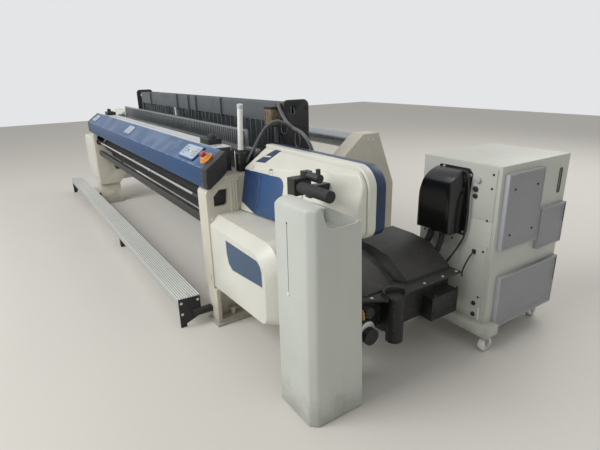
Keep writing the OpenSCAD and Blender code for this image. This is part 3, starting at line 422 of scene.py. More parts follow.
@dataclass(frozen=True)
class RibbedAluminium:
    """Dull pale aluminium with painted shade in the grooves between the walkway's ribs and on its sides."""

    name: str
    colour: Colour = srgb("e9eae5")
    # The darker colours of the grooves and of the sides are painted shade.
    groove_shade: Colour = srgb("8f918c")
    side: Colour = srgb("b3b5b1")
    first: float = -0.971
    pitch: float = 0.14 / 9.5

    def make(self) -> bpy.types.Material:
        """Builds the material."""
        skin = Skin(self.name)
        share = skin.maths("FRACT", (skin.axis(Axis.Y) - self.first) / self.pitch)
        # Painted shade in the grooves, on the faces that look up.
        groove_shade_mask = share.step(0.56, 0.66) * (1.0 - share.step(0.9, 0.98)) * skin.up()
        cloud = skin.noise(3.0, 5.0, (0.3, 1.0, 1.0))
        colour = skin.mix(cloud.step(0.35, 0.75) * 0.5, self.colour, tuple(c * 0.72 for c in self.colour))
        colour = skin.mix(groove_shade_mask * 0.8, colour, self.groove_shade)
        # Painted shade: the faces that don't look up take the darker side colour.
        colour = skin.mix(skin.up(), self.side, colour)
        lines = skin.noise(500.0, 3.0, (0.02, 1.0, 1.0))
        rough = 0.48 + (cloud - 0.5) * 0.2
        return skin.finish(colour, rough, 0.15, [(lines, 0.15, 0.0004)])


class Growth(Web):
    """A geometry node tree with named inputs that ends in plain faces of one finish."""

    def __init__(self, name: str, inputs: dict[str, tuple[str, object]]) -> None:
        """Makes the tree and its inputs.

        Args:
            name: The tree's name.
            inputs: Each input's socket kind and default, in order.
        """
        tree = bpy.data.node_groups.new(name, "GeometryNodeTree")
        super().__init__(tree)
        tree.interface.new_socket("Shape", in_out="INPUT", socket_type="NodeSocketGeometry")
        for label, (kind, value) in inputs.items():
            socket = tree.interface.new_socket(label, in_out="INPUT", socket_type="NodeSocket" + kind)
            socket.default_value = value
        tree.interface.new_socket("Finish", in_out="INPUT", socket_type="NodeSocketMaterial")
        tree.interface.new_socket("Shape", in_out="OUTPUT", socket_type="NodeSocketGeometry")
        self.entry = self.node("NodeGroupInput")

    def given(self, label: str) -> Signal:
        """One of the tree's inputs."""
        return Signal(self, self.entry.outputs[label])

    def close(self, shape: Signal) -> None:
        """Realizes the shape and gives it the finish."""
        real = self.add("GeometryNodeRealizeInstances", values={0: shape})
        dressed = self.add("GeometryNodeSetMaterial", values={0: real, "Material": self.given("Finish")})
        self.node("NodeGroupOutput", values={0: dressed})

    def grow(
        self,
        name: str,
        mesh: bpy.types.Mesh,
        finish: bpy.types.Material,
        body: str,
        slot: str,
        place: Optional[Matrix] = None,
        **values: object,
    ) -> bpy.types.Object:
        """Runs the tree on a mesh and hangs the result on a body.

        Args:
            name: The piece's name.
            mesh: What the tree starts from, in metres.
            finish: The finish.
            body: The body it rides on.
            slot: The record's material slot; not used.
            place: Turns and moves the result, in metres.
            values: The tree's inputs.

        Returns:
            The object.
        """
        made = mesh_object(name, mesh)
        modifier = made.modifiers.new(self.tree.name, "NODES")
        modifier.node_group = self.tree
        wanted = {**values, "Finish": finish}
        for item in self.tree.interface.items_tree:
            if item.in_out == "INPUT" and item.name in wanted:
                modifier[item.identifier] = wanted[item.name]
        settle(made)
        if place is not None:
            made.data.transform(place)
        return hang(made, body)

    def fixed(
        self,
        name: str,
        palette: "Palette",
        slot: str,
        mesh: Optional[bpy.types.Mesh] = None,
        place: Optional[Matrix] = None,
        **values: object,
    ) -> bpy.types.Object:
        """Grows a piece of the standing loom in its slot's own finish.

        Args:
            name: The piece's name.
            palette: The finishes.
            slot: The record's material slot.
            mesh: What the tree starts from, in metres, if it needs anything.
            place: Turns and moves the result, in metres.
            values: The tree's inputs.

        Returns:
            The object.
        """
        start = bpy.data.meshes.new(name) if mesh is None else mesh
        return self.grow(name, start, palette[slot], "loom_frame", slot, place, **values)


class RowTree(Growth):
    """Equal bars along a line, such as reed dents, heald wires and the table's slots."""

    def __init__(self) -> None:
        """Builds the tree."""
        super().__init__("row_of_bars", {
            "Count": ("Int", 10), "Start": ("Vector", (0.0, 0.0, 0.0)),
            "Step": ("Vector", (0.01, 0.0, 0.0)), "Size": ("Vector", (0.002, 0.002, 0.1)),
        })
        line = self.add("GeometryNodeMeshLine", {"mode": "OFFSET"}, {
            "Count": self.given("Count"), "Start Location": self.given("Start"),
            "Offset": self.given("Step")})
        bar = self.add("GeometryNodeMeshCube", values={"Size": self.given("Size")})
        self.close(self.add("GeometryNodeInstanceOnPoints", values={"Points": line, "Instance": bar}))


class GridTree(Growth):
    """A grid of low round keys on the XY plane."""

    def __init__(self) -> None:
        """Builds the tree."""
        super().__init__("grid_of_keys", {
            "Width": ("Float", 0.1), "Height": ("Float", 0.05), "Across": ("Int", 5), "Up": ("Int", 3),
            "Radius": ("Float", 0.006), "Rise": ("Float", 0.003), "Top": ("Float", 0.8),
        })
        grid = self.add("GeometryNodeMeshGrid", values={
            "Size X": self.given("Width"), "Size Y": self.given("Height"),
            "Vertices X": self.given("Across"), "Vertices Y": self.given("Up")})
        key = self.add("GeometryNodeMeshCone", values={
            "Vertices": 16, "Radius Top": self.given("Radius") * self.given("Top"),
            "Radius Bottom": self.given("Radius"), "Depth": self.given("Rise")})
        self.close(self.add("GeometryNodeInstanceOnPoints", values={"Points": grid, "Instance": key}))


class StudTree(Growth):
    """Screw heads on washers at points whose "aim" attribute says where they face."""

    def __init__(self) -> None:
        """Builds the tree."""
        super().__init__("screw_heads", {"Radius": ("Float", 0.005), "Rise": ("Float", 0.004)})
        aim = self.add("GeometryNodeInputNamedAttribute", {"data_type": "FLOAT_VECTOR"}, {"Name": "aim"})
        turn = self.add("FunctionNodeAlignRotationToVector", {"axis": "Z"}, {"Vector": aim})
        washer = self.add("GeometryNodeMeshCylinder", values={
            "Vertices": 20, "Radius": self.given("Radius") * 1.45, "Depth": self.given("Rise") * 0.3})
        head = self.add("GeometryNodeMeshCone", values={
            "Vertices": 12, "Radius Top": self.given("Radius") * 0.78, "Radius Bottom": self.given("Radius"),
            "Depth": self.given("Rise")})
        both = self.add("GeometryNodeJoinGeometry")
        self.tree.links.new(washer.socket, both.socket.node.inputs[0])
        self.tree.links.new(head.socket, both.socket.node.inputs[0])
        self.close(self.add("GeometryNodeInstanceOnPoints", values={
            "Points": self.given("Shape"), "Instance": both, "Rotation": turn}))


class SieveTree(Growth):
    """A perforated sheet on the XY plane, made of square cells with a round hole."""

    def __init__(self) -> None:
        """Builds the tree."""
        super().__init__("perforated_sheet", {
            "Across": ("Int", 20), "Up": ("Int", 20), "Pitch": ("Float", 0.009), "Hole": ("Float", 0.003)})
        pitch = self.given("Pitch")
        square = self.add("GeometryNodeCurvePrimitiveQuadrilateral", values={"Width": pitch, "Height": pitch})
        circle = self.add("GeometryNodeCurvePrimitiveCircle", values={
            "Resolution": 8, "Radius": self.given("Hole")})
        edges = self.add("GeometryNodeJoinGeometry")
        self.tree.links.new(square.socket, edges.socket.node.inputs[0])
        self.tree.links.new(circle.socket, edges.socket.node.inputs[0])
        cell = self.add("GeometryNodeFillCurve", values={0: edges})
        grid = self.add("GeometryNodeMeshGrid", values={
            "Size X": (self.given("Across") - 1) * pitch, "Size Y": (self.given("Up") - 1) * pitch,
            "Vertices X": self.given("Across"), "Vertices Y": self.given("Up")})
        self.close(self.add("GeometryNodeInstanceOnPoints", values={"Points": grid, "Instance": cell}))


class HoseTree(Growth):
    """A round hose along the edges of a mesh, ribbed if its ripple isn't zero."""

    def __init__(self) -> None:
        """Builds the tree."""
        super().__init__("ribbed_hose", {
            "Radius": ("Float", 0.01), "Ripple": ("Float", 0.0), "Pitch": ("Float", 0.008),
            "Step": ("Float", 0.002)})
        line = self.add("GeometryNodeMeshToCurve", values={0: self.given("Shape")})
        fine = self.add("GeometryNodeResampleCurve", {"mode": "LENGTH"}, {
            "Curve": line, "Length": self.given("Step")})
        length = self.add("GeometryNodeSplineParameter", out="Length")
        wave = self.maths("SINE", length / self.given("Pitch") * (2 * math.pi))
        swell = self.add("GeometryNodeSetCurveRadius", values={
            "Curve": fine, "Radius": 1.0 + wave * self.given("Ripple")})
        ring = self.add("GeometryNodeCurvePrimitiveCircle", values={
            "Resolution": 12, "Radius": self.given("Radius")})
        tube = self.add("GeometryNodeCurveToMesh", values={
            "Curve": swell, "Profile Curve": ring, "Fill Caps": True})
        self.close(self.add("GeometryNodeSetShadeSmooth", values={0: tube}))


@dataclass
class Trees:
    """The geometry node trees, each built once."""

    row: RowTree = field(default_factory=RowTree)
    grid: GridTree = field(default_factory=GridTree)
    stud: StudTree = field(default_factory=StudTree)
    sieve: SieveTree = field(default_factory=SieveTree)
    hose: HoseTree = field(default_factory=HoseTree)


def mesh_object(name: str, mesh: bpy.types.Mesh) -> bpy.types.Object:
    """Puts a mesh in the scene as an object at the origin."""
    made = bpy.data.objects.new(name, mesh)
    bpy.context.scene.collection.objects.link(made)
    return made


def settle(piece: bpy.types.Object) -> None:
    """Turns a piece and its modifiers into a plain mesh."""
    bpy.context.view_layer.update()
    ready = piece.evaluated_get(bpy.context.evaluated_depsgraph_get())
    mesh = bpy.data.meshes.new_from_object(ready)
    piece.modifiers.clear()
    piece.data = mesh


def curved(points: Sequence[Point], steps: int = 8) -> list[Vector]:
    """A smooth line through points, by Catmull and Rom."""
    spots = [Vector(p) for p in points]
    ends = [spots[0] * 2 - spots[1], *spots, spots[-1] * 2 - spots[-2]]
    line = []
    for a, b, c, d in zip(ends, ends[1:], ends[2:], ends[3:]):
        for i in range(steps):
            t = i / steps
            line.append(0.5 * (2 * b + (c - a) * t + (2 * a - 5 * b + 4 * c - d) * t * t
                               + (3 * b - a - 3 * c + d) * t ** 3))
    return [*line, spots[-1]]


def arc(centre: tuple[float, float], radius: float, start: float, end: float, steps: int = 8) -> list:
    """Points of an arc between two angles in degrees."""
    angles = [math.radians(start + (end - start) * i / steps) for i in range(steps + 1)]
    return [(centre[0] + radius * math.cos(a), centre[1] + radius * math.sin(a)) for a in angles]


class Piece:
    """Bmesh building of one piece, in loom millimetres."""

    def __init__(self, name: str) -> None:
        """Starts empty."""
        self.name = name
        self.bm = bmesh.new()
        self.layer = self.bm.faces.layers.float.new("edge")

    def block(self, low: Point, high: Point) -> "Piece":
        """Adds a block between two corners."""
        low_v, high_v = Vector(low), Vector(high)
        mid = (low_v + high_v) / 2
        size = Matrix.Diagonal((*(high_v - low_v), 1.0))
        bmesh.ops.create_cube(self.bm, size=1.0, matrix=Matrix.Translation(mid) @ size)
        return self

    def prism(self, outline: Sequence[Point], axis: Axis, start: float, length: float) -> "Piece":
        """Adds an outline drawn out along an axis.

        Args:
            outline: Points of the other two axes in their order, Z last.
            axis: The axis to draw along.
            start: Where it starts.
            length: How long it is.

        Returns:
            The piece itself.
        """
        rings = []
        for depth in (start, start + length):
            ring = []
            for u, v in outline:
                spot = {Axis.X: (depth, u, v), Axis.Y: (u, depth, v), Axis.Z: (u, v, depth)}[axis]
                ring.append(self.bm.verts.new(spot))
            rings.append(ring)
        self.bm.faces.new(rings[0])
        self.bm.faces.new(rings[1])
        count = len(outline)
        for i in range(count):
            j = (i + 1) % count
            self.bm.faces.new((rings[0][i], rings[0][j], rings[1][j], rings[1][i]))
        return self

    def lathe(
        self, profile: Sequence[tuple[float, float]], centre: Point, axis: Axis, sides: int = 32
    ) -> "Piece":
        """Turns a profile of (place along the axis, radius) round a line through the centre.

        Args:
            profile: Points from one end to the other.
            centre: A point of the line.
            axis: The line's direction.
            sides: Steps round.

        Returns:
            The piece itself.
        """
        u, v = [a for a in range(3) if a != axis.value]
        rings = []
        for along, radius in profile:
            ring = []
            for i in range(sides):
                angle = 2 * math.pi * i / sides
                spot = [0.0, 0.0, 0.0]
                spot[axis.value] = centre[axis.value] + along
                spot[u] = centre[u] + radius * math.cos(angle)
                spot[v] = centre[v] + radius * math.sin(angle)
                ring.append(self.bm.verts.new(spot))
            rings.append(ring)
        self.skin_rings(rings)
        return self

    def tube(self, path: Sequence[Point], radius: float, sides: int = 12) -> "Piece":
        """Sweeps a round section along a path."""
        points = [Vector(p) for p in path]
        rings = []
        side = Vector((0, 0, 1))
        for i, spot in enumerate(points):
            ahead = (points[min(i + 1, len(points) - 1)] - points[max(i - 1, 0)]).normalized()
            side = side - ahead * side.dot(ahead)
            if side.length < 1e-4:
                side = ahead.orthogonal()
            side.normalize()
            across = ahead.cross(side)
            ring = []
            for k in range(sides):
                angle = 2 * math.pi * k / sides
                offset = side * math.cos(angle) + across * math.sin(angle)
                ring.append(self.bm.verts.new(spot + offset * radius))
            rings.append(ring)
        self.skin_rings(rings)
        return self

    def skin_rings(self, rings: Sequence[Sequence[bmesh.types.BMVert]]) -> None:
        """Joins rings of equal size one after the other and closes both ends."""
        sides = len(rings[0])
        for one, two in zip(rings, rings[1:]):
            for i in range(sides):
                j = (i + 1) % sides
                self.bm.faces.new((one[i], one[j], two[j], two[i]))
        for ring in (rings[0], rings[-1]):
            self.bm.faces.new(ring)

    def wrap(self, points: Sequence[Point]) -> "Piece":
        """Adds the convex solid round some points."""
        verts = [self.bm.verts.new(p) for p in points]
        made = bmesh.ops.convex_hull(self.bm, input=verts)
        spare = {v for v in made["geom_interior"] + made["geom_unused"] if isinstance(v, bmesh.types.BMVert)}
        bmesh.ops.delete(self.bm, geom=list(spare), context="VERTS")
        return self

    def halve(self, spot: Point, normal: Point) -> "Piece":
        """Cuts a convex solid by a plane, drops what lies beyond it and closes the cut."""
        geometry = [*self.bm.verts, *self.bm.edges, *self.bm.faces]
        made = bmesh.ops.bisect_plane(
            self.bm, geom=geometry, plane_co=Vector(spot), plane_no=Vector(normal), clear_outer=True
        )
        rim = [e for e in made["geom_cut"] if isinstance(e, bmesh.types.BMEdge)]
        bmesh.ops.holes_fill(self.bm, edges=rim, sides=0)
        return self

    def node(self, name: str) -> "Piece":
        """Adds a CAD node's own shape."""
        mesh = frame["nodes"][name].data.copy()
        mesh.transform(Matrix.Scale(1000.0, 4) @ Matrix.Translation(ORIGIN))
        self.bm.from_mesh(mesh)
        bpy.data.meshes.remove(mesh)
        bmesh.ops.remove_doubles(self.bm, verts=self.bm.verts, dist=WELD)
        return self

    def flatten(self) -> "Piece":
        """Dissolves the edges inside flat faces."""
        bmesh.ops.dissolve_limit(self.bm, angle_limit=FLAT_BEND, verts=self.bm.verts, edges=self.bm.edges)
        return self

    def moved(self, turn: Matrix) -> "Piece":
        """Turns and moves all of it."""
        bmesh.ops.transform(self.bm, matrix=turn, verts=self.bm.verts)
        return self

    def sample(self) -> bpy.types.Object:
        """A scratch object of the present shape."""
        bmesh.ops.recalc_face_normals(self.bm, faces=self.bm.faces)
        mesh = bpy.data.meshes.new("scratch")
        self.bm.to_mesh(mesh)
        return mesh_object("scratch", mesh)

    def take(self, made: bpy.types.Object) -> None:
        """Takes a scratch object's shape and removes the object."""
        self.bm.free()
        self.bm = bmesh.new()
        self.bm.from_mesh(made.data)
        layers = self.bm.faces.layers.float
        self.layer = layers.get("edge") or layers.new("edge")
        mesh = made.data
        bpy.data.objects.remove(made)
        bpy.data.meshes.remove(mesh)

    def mixed(self, other: "Piece", operation: str) -> "Piece":
        """Joins, cuts or meets this piece with another, which is used up."""
        first, second = self.sample(), other.sample()
        modifier = first.modifiers.new("mix", "BOOLEAN")
        modifier.operation = operation
        modifier.solver = "EXACT"
        modifier.object = second
        settle(first)
        bpy.data.objects.remove(second)
        other.bm.free()
        self.take(first)
        return self

    def cut(self, other: "Piece") -> "Piece":
        """Cuts another piece away."""
        return self.mixed(other, "DIFFERENCE")

    def meet(self, other: "Piece") -> "Piece":
        """Keeps what lies in both."""
        return self.mixed(other, "INTERSECT")

    def join(self, other: "Piece") -> "Piece":
        """Adds another piece."""
        return self.mixed(other, "UNION")

    def melt(self, voxel: float, steps: int) -> "Piece":
        """Turns the solid into one moulded skin of small faces and rounds its edges.

        Args:
            voxel: Size of its faces.
            steps: Rounds of smoothing.

        Returns:
            The piece itself.
        """
        made = self.sample()
        skin = made.modifiers.new("skin", "REMESH")
        skin.mode = "VOXEL"
        skin.voxel_size = voxel
        soft = made.modifiers.new("soft", "SMOOTH")
        soft.factor = 0.5
        soft.iterations = steps
        settle(made)
        self.take(made)
        return self

    def rounded(self, width: float, segments: int = 2, angle: float = SHARP_BEND) -> "Piece":
        """Rounds the sharp edges."""
        round_edges(self.bm, self.layer, width, segments, angle)
        return self

    def done(
        self,
        body: str,
        finish: bpy.types.Material,
        slot: str,
        bevel: float = 0.0,
        segments: int = 2,
        replaces: Sequence[str] = (),
    ) -> bpy.types.Object:
        """Ends the piece: welds, rounds, dresses and hangs it on its body.

        Args:
            body: The body it rides on.
            finish: Its material.
            slot: The record's material slot; not used.
            bevel: Width of the rounded edges in millimetres.
            segments: Steps of each rounded edge.
            replaces: CAD nodes it stands for.

        Returns:
            The object.
        """
        bmesh.ops.remove_doubles(self.bm, verts=self.bm.verts, dist=WELD)
        bmesh.ops.recalc_face_normals(self.bm, faces=self.bm.faces)
        if bevel:
            round_edges(self.bm, self.layer, bevel, segments, BEVEL_BEND)
        self.moved(Matrix.Translation(-ORIGIN) @ Matrix.Scale(0.001, 4))
        mesh = bpy.data.meshes.new(self.name)
        self.bm.to_mesh(mesh)
        self.bm.free()
        made = mesh_object(self.name, mesh)
        dress(made, finish)
        return hang(made, body, replaces)

    def fixed(
        self,
        palette: "Palette",
        slot: str,
        bevel: float = 0.0,
        segments: int = 2,
        replaces: Sequence[str] = (),
    ) -> bpy.types.Object:
        """Ends a piece of the standing loom in its slot's own finish, as done does."""
        return self.done("loom_frame", palette[slot], slot, bevel, segments, replaces)


def line_mesh(points: Sequence[Point]) -> bpy.types.Mesh:
    """A mesh of one line of edges through points in loom millimetres."""
    mesh = bpy.data.meshes.new("line")
    mesh.from_pydata([at(*p) for p in points], [(i, i + 1) for i in range(len(points) - 1)], [])
    return mesh


def spot_mesh(spots: Sequence[tuple[Point, Point]]) -> bpy.types.Mesh:
    """A mesh of single points in loom millimetres, each with the direction it faces."""
    mesh = bpy.data.meshes.new("spots")
    mesh.from_pydata([at(*p) for p, _ in spots], [], [])
    aims = mesh.attributes.new("aim", "FLOAT_VECTOR", "POINT")
    aims.data.foreach_set("vector", [c for _, aim in spots for c in aim])
    return mesh


def round_edges(
    bm: bmesh.types.BMesh, layer: bmesh.types.BMLayerItem, width: float, segments: int, angle: float
) -> None:
    """Rounds the sharp edges of a closed mesh and marks the new faces.

    Args:
        bm: The mesh.
        layer: The float layer that gets 1 on new faces.
        width: Width of each side of the rounding.
        segments: Its steps.
        angle: Edges that bend less, in degrees, stay.
    """
    sharp = [
        e
        for e in bm.edges
        if len(e.link_faces) == 2 and e.calc_face_angle(0.0) > math.radians(angle)
    ]
    if not sharp:
        return
    made = bmesh.ops.bevel(
        bm,
        geom=sharp,
        offset=width,
        offset_type="OFFSET",
        segments=segments,
        profile=0.5,
        affect="EDGES",
        clamp_overlap=True,
        harden_normals=False,
    )
    for face in made["faces"]:
        face[layer] = 1.0


def dress(piece: bpy.types.Object, finish: bpy.types.Material) -> None:
    """Gives a piece its finish and a smooth shading with sharp edges."""
    piece.data.materials.clear()
    piece.data.materials.append(finish)
    piece.data.polygons.foreach_set("use_smooth", [True] * len(piece.data.polygons))
    piece.data.set_sharp_from_angle(angle=math.radians(SHADE_BEND))


def hang(
    piece: bpy.types.Object, body: str, replaces: Sequence[str] = ()
) -> bpy.types.Object:
    """Hangs a piece on its body and hides the nodes it stands for."""
    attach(piece, body)
    if replaces:
        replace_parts(piece, *replaces)
    return piece


def recolour(node: str, finish: bpy.types.Material) -> None:
    """Gives a CAD node its finish."""
    piece = frame["nodes"][node]
    piece.data.materials.clear()
    piece.data.materials.append(finish)


def body_of(node: str) -> str:
    """The body that a CAD node rides on."""
    for body, nodes in frame["record"]["behaviour"]["bodies"].items():
        if node in nodes:
            return body
    raise KeyError(node)


def soften(
    node: str, finish: bpy.types.Material, width: float, segments: int = 2
) -> bpy.types.Object:
    """A rounded copy of a CAD node that stands for it.

    Args:
        node: The node.
        finish: The copy's material.
        width: Width of the rounding in millimetres.
        segments: Steps of the rounding.

    Returns:
        The object.
    """
    bm = bmesh.new()
    bm.from_mesh(frame["nodes"][node].data)
    layer = bm.faces.layers.float.new("edge")
    bmesh.ops.remove_doubles(bm, verts=bm.verts, dist=WELD * 0.001)
    bmesh.ops.dissolve_limit(
        bm, angle_limit=math.radians(1.0), verts=bm.verts, edges=bm.edges, delimit={"NORMAL"}
    )
    round_edges(bm, layer, width * 0.001, segments, SHARP_BEND)
    mesh = bpy.data.meshes.new(node + "_skin")
    bm.to_mesh(mesh)
    bm.free()
    made = mesh_object(node + "_skin", mesh)
    dress(made, finish)
    return hang(made, body_of(node), [node])


@dataclass
class Palette:
    """Every finish of the loom, by the record's slot names."""

    made: dict[str, bpy.types.Material] = field(default_factory=dict)

    def build(self) -> None:
        """Makes all finishes."""
        finishes: list[Union[Coating, Metal, Rubber, RibbedAluminium]] = [
            Coating("frame_paint", srgb("c9c5b6"), 0.42, dust_and_sheen=0.45, grime=0.5, grime_height=0.3,
                    wear_and_highlight=0.3, bare_and_highlight=srgb("8d877a"), streaks=0.16),
            Coating("beam_paint", srgb("292b2c"), 0.5, dust_and_sheen=0.3, dust_and_sheen_colour=srgb("6f6a60"), wear_and_highlight=0.5,
                    speckle=0.1),
            # The hood's pale blue tops are partly a painted sheen, and its pale blue edges along the bend are
            # a painted highlight.
            Coating("hood_blue", srgb("0f3c68"), 0.46, drift=0.14, drift_size=1.4, grain=0.06,
                    dust_and_sheen=0.36, dust_and_sheen_colour=srgb("a3b6cf"), wear_and_highlight=0.85, bare_and_highlight=srgb("8ea8cc")),
            Coating("black_plastic", srgb("1c1d1f"), 0.48, dust_and_sheen=0.3, dust_and_sheen_colour=srgb("6b6760"),
                    wear_and_highlight=0.5, bare_and_highlight=srgb("4a4a4a")),
            Metal("table_steel", srgb("dfe1e1"), 0.42, stain=0.2, metallic=0.6),
            Coating("pad_plastic", srgb("aab8cb"), 0.5, drift=0.06, grain=0.05, dust_and_sheen=0.15),
            Coating("green_plastic", srgb("2f8a49"), 0.3, grain=0.03, dust_and_sheen=0.1, coat=0.3),
            Coating("white_plastic", srgb("e2e2dd"), 0.35, drift=0.05, grain=0.04, dust_and_sheen=0.1, coat=0.2),
            Coating("yellow_plastic", srgb("d9b22c"), 0.3, grain=0.03, dust_and_sheen=0.1, coat=0.3),
            Coating("amber_plastic", srgb("d98c33"), 0.4, drift=0.2, drift_size=30.0, dust_and_sheen=0.3),
            Coating("red_plastic", srgb("a3322c"), 0.35, grain=0.03, dust_and_sheen=0.2, coat=0.2),
            Metal("bright_chrome", srgb("dcdddd"), 0.16, brush=0.1, stain=0.1),
            Rubber("grip_rubber"),
            Metal("sley_aluminium", srgb("8e9192"), 0.46, stain=0.5),
            Metal("reed_steel", srgb("a7abad"), 0.32, axis=Axis.Z, stain=0.2),
            Coating("black_castings", srgb("111213"), 0.5, drift=0.2, drift_size=5.0, grain=0.2,
                    dust_and_sheen=0.5, dust_and_sheen_colour=srgb("4a4842"), wear_and_highlight=0.5, bare_and_highlight=srgb("65625b"), speckle=0.03,
                    speckle_colour=srgb("4a463e")),
            Metal("heald_aluminium", srgb("767c80"), 0.46, stain=0.35),
            Metal("roller_steel", srgb("b4b7b8"), 0.3, turned=True, stain=0.25),
            Metal("beam_aluminium", srgb("b9bcbd"), 0.34, turned=True, stain=0.2),
            Coating("cream_plastic", srgb("d6d6cc"), 0.38, drift=0.05, grain=0.1, grain_size=900.0,
                    dust_and_sheen=0.3, dust_and_sheen_colour=srgb("c6bda9"), streaks=0.06, coat=0.1),
            Coating("badge_grey", srgb("35516e"), 0.35, drift=0.1, grain=0.03, dust_and_sheen=0.05),
            Coating("blue_plastic", srgb("2c4c80"), 0.4, drift=0.12, grain=0.1, dust_and_sheen=0.2,
                    dust_and_sheen_colour=srgb("8795ad")),
            Coating("bin_plastic", srgb("c0c4be"), 0.5, drift=0.05, grain=0.2, grain_size=420.0,
                    dust_and_sheen=0.2, grime=0.35, grime_height=0.25, streaks=0.08),
            Coating("dobby_plastic", srgb("2c2d2d"), 0.58, drift=0.25, drift_size=4.0, grain=0.2,
                    dust_and_sheen=0.6, dust_and_sheen_colour=srgb("514e48"), wear_and_highlight=0.5, bare_and_highlight=srgb("5e5b55"),
                    speckle=0.04, speckle_colour=srgb("57524a")),
            Coating("cabinet_paint", srgb("bdc0b8"), 0.42, drift=0.05, grain=0.08, dust_and_sheen=0.35,
                    grime=0.35, grime_height=0.3, wear_and_highlight=0.2, bare_and_highlight=srgb("8f8f88")),
            Coating("screen_paint", srgb("a9abb0"), 0.45, drift=0.05, grain=0.06, dust_and_sheen=0.2),
            Coating("wheel_plastic", srgb("d8d8d0"), 0.45, dust_and_sheen=0.2, grime=0.6, grime_height=0.05),
            RibbedAluminium("plank_aluminium"),
        ]
        for finish in finishes:
            self.made[finish.name] = finish.make()

    def __getitem__(self, slot: str) -> bpy.types.Material:
        """The finish of a slot."""
        return self.made[slot]


@dataclass
class Studio:
    """The floor, the soft lights and the camera at the photograph's angle."""

    spot: Point = (3.988, -1.689, 1.500)
    yaw: float = 56.91
    pitch: float = 18.71
    roll: float = 1.33
    lens: float = 27.15
    floor_colour: Colour = srgb("d6d3cc")

    def camera(self) -> None:
        """Makes the camera."""
        yaw, pitch, roll = (math.radians(a) for a in (self.yaw, self.pitch, self.roll))
        ahead = Vector((-math.sin(yaw) * math.cos(pitch), math.cos(yaw) * math.cos(pitch), -math.sin(pitch)))
        right = Vector((math.cos(yaw), math.sin(yaw), 0.0))
        down = ahead.cross(right)
        side = right * math.cos(roll) + down * math.sin(roll)
        below = down * math.cos(roll) - right * math.sin(roll)
        turn = Matrix((side, -below, -ahead)).transposed().to_4x4()
        data = bpy.data.cameras.new("photo_camera")
        data.lens = self.lens
        data.sensor_fit = "HORIZONTAL"
        data.clip_start = 0.05
        camera = bpy.data.objects.new("photo_camera", data)
        camera.matrix_world = Matrix.Translation(Vector(self.spot)) @ turn
        bpy.context.scene.collection.objects.link(camera)
        bpy.context.scene.camera = camera

    def floor(self) -> None:
        """Makes the floor, which is not part of the loom."""
        mesh = bpy.data.meshes.new("floor")
        reach = 14.0
        corners = [(-reach, -reach, 0), (reach, -reach, 0), (reach, reach, 0), (-reach, reach, 0)]
        mesh.from_pydata(corners, [], [(0, 1, 2, 3)])
        floor = mesh_object("floor", mesh)
        skin = Skin("floor_pale")
        cloud = skin.noise(0.8, 3.0)
        low: Colour = tuple(c * 0.97 for c in self.floor_colour)
        dress(floor, skin.finish(skin.mix(cloud, low, self.floor_colour), 0.75))

    def lights(self) -> None:
        """Makes the world and the lamps."""
        world = bpy.data.worlds.new("studio")
        world.use_nodes = True
        web = Web(world.node_tree)
        path = web.node("ShaderNodeLightPath")
        seen = web.maths("MAXIMUM", Signal(web, path.outputs["Is Camera Ray"]),
                         Signal(web, path.outputs["Is Glossy Ray"]))
        plain = web.add("ShaderNodeBackground", values={"Color": (1.0, 0.99, 0.97), "Strength": 0.47})
        pale = web.add("ShaderNodeBackground", values={"Color": (0.86, 0.87, 0.88), "Strength": 0.9})
        both = web.add("ShaderNodeMixShader", values={0: seen, 1: plain, 2: pale})
        web.node("ShaderNodeOutputWorld", values={0: both})
        bpy.context.scene.world = world
        for name, spot, aim, size, power in (
            ("key", (0.7, -6.2, 5.2), (0.5, -0.2, 0.6), 4.5, 395.0),
            ("fill", (6.0, -1.0, 4.0), (1.0, 0.0, 0.5), 4.0, 8.0),
            ("back", (1.0, 6.0, 5.0), (0.0, 0.2, 0.8), 4.0, 150.0),
        ):
            data = bpy.data.lights.new(name, "AREA")
            data.size = size
            data.energy = power
            lamp = bpy.data.objects.new(name, data)
            lamp.location = spot
            aim_at = Vector(aim) - Vector(spot)
            lamp.rotation_euler = aim_at.to_track_quat("-Z", "Y").to_euler()
            bpy.context.scene.collection.objects.link(lamp)
        bpy.context.scene.view_settings.view_transform = "Standard"

    def build(self) -> None:
        """Makes all of it."""
        self.camera()
        self.floor()
        self.lights()


@dataclass
class Carcass:
    """Side frames, feet and cross members."""

    palette: Palette

    def build(self) -> None:
        """Rounds and dresses the castings."""
        p = self.palette
        for node in ("side_frame_right", "side_frame_left"):
            soften(node, p["frame_paint"], 7.0, 3)
        soften("feet", p["frame_paint"], 4.0, 2)
        for node in ("breast_beam", "cross_beams"):
            soften(node, p["beam_paint"], 3.0)


@dataclass
class Rounding:
    """Rounded skins of the nodes whose shapes are already right."""

    palette: Palette
    widths: dict[str, tuple[float, int]] = field(default_factory=lambda: {
        "hood_cover": (2.4, 3), "hood_caps": (6.0, 3), "keypads": (3.0, 2), "emergency_base": (2.0, 2),
        "emergency_button": (2.0, 2), "guide_sockets": (1.5, 2), "sley": (4.0, 2), "temples": (1.5, 2),
        "rapier_guides": (3.0, 2), "harness_guides": (3.0, 2), "let_off_gearbox": (6.0, 2),
        "lower_housing_right": (14.0, 4), "waste_drive": (6.0, 3), "dobby_case": (6.0, 3),
        "dobby_cover": (5.0, 3), "lower_housing_left": (16.0, 4), "upper_housing_left": (16.0, 4),
        "cabinet_body": (4.0, 3), "drive_cover": (7.0, 3), "cabinet_plinth": (3.0, 2), "plank": (1.4, 2),
        "plank_ends": (1.5, 2),
        "caster_wheel_front_right": (4.0, 3), "caster_wheel_front_left": (4.0, 3),
        "caster_wheel_rear_right": (4.0, 3), "caster_wheel_rear_left": (4.0, 3),
    })

    def build(self) -> None:
        """Rounds and dresses each of them."""
        slots = {part["node"]: part["material_slot"] for part in frame["record"]["subparts"]}
        for node, (width, steps) in self.widths.items():
            soften(node, self.palette[slots[node]], width, steps)


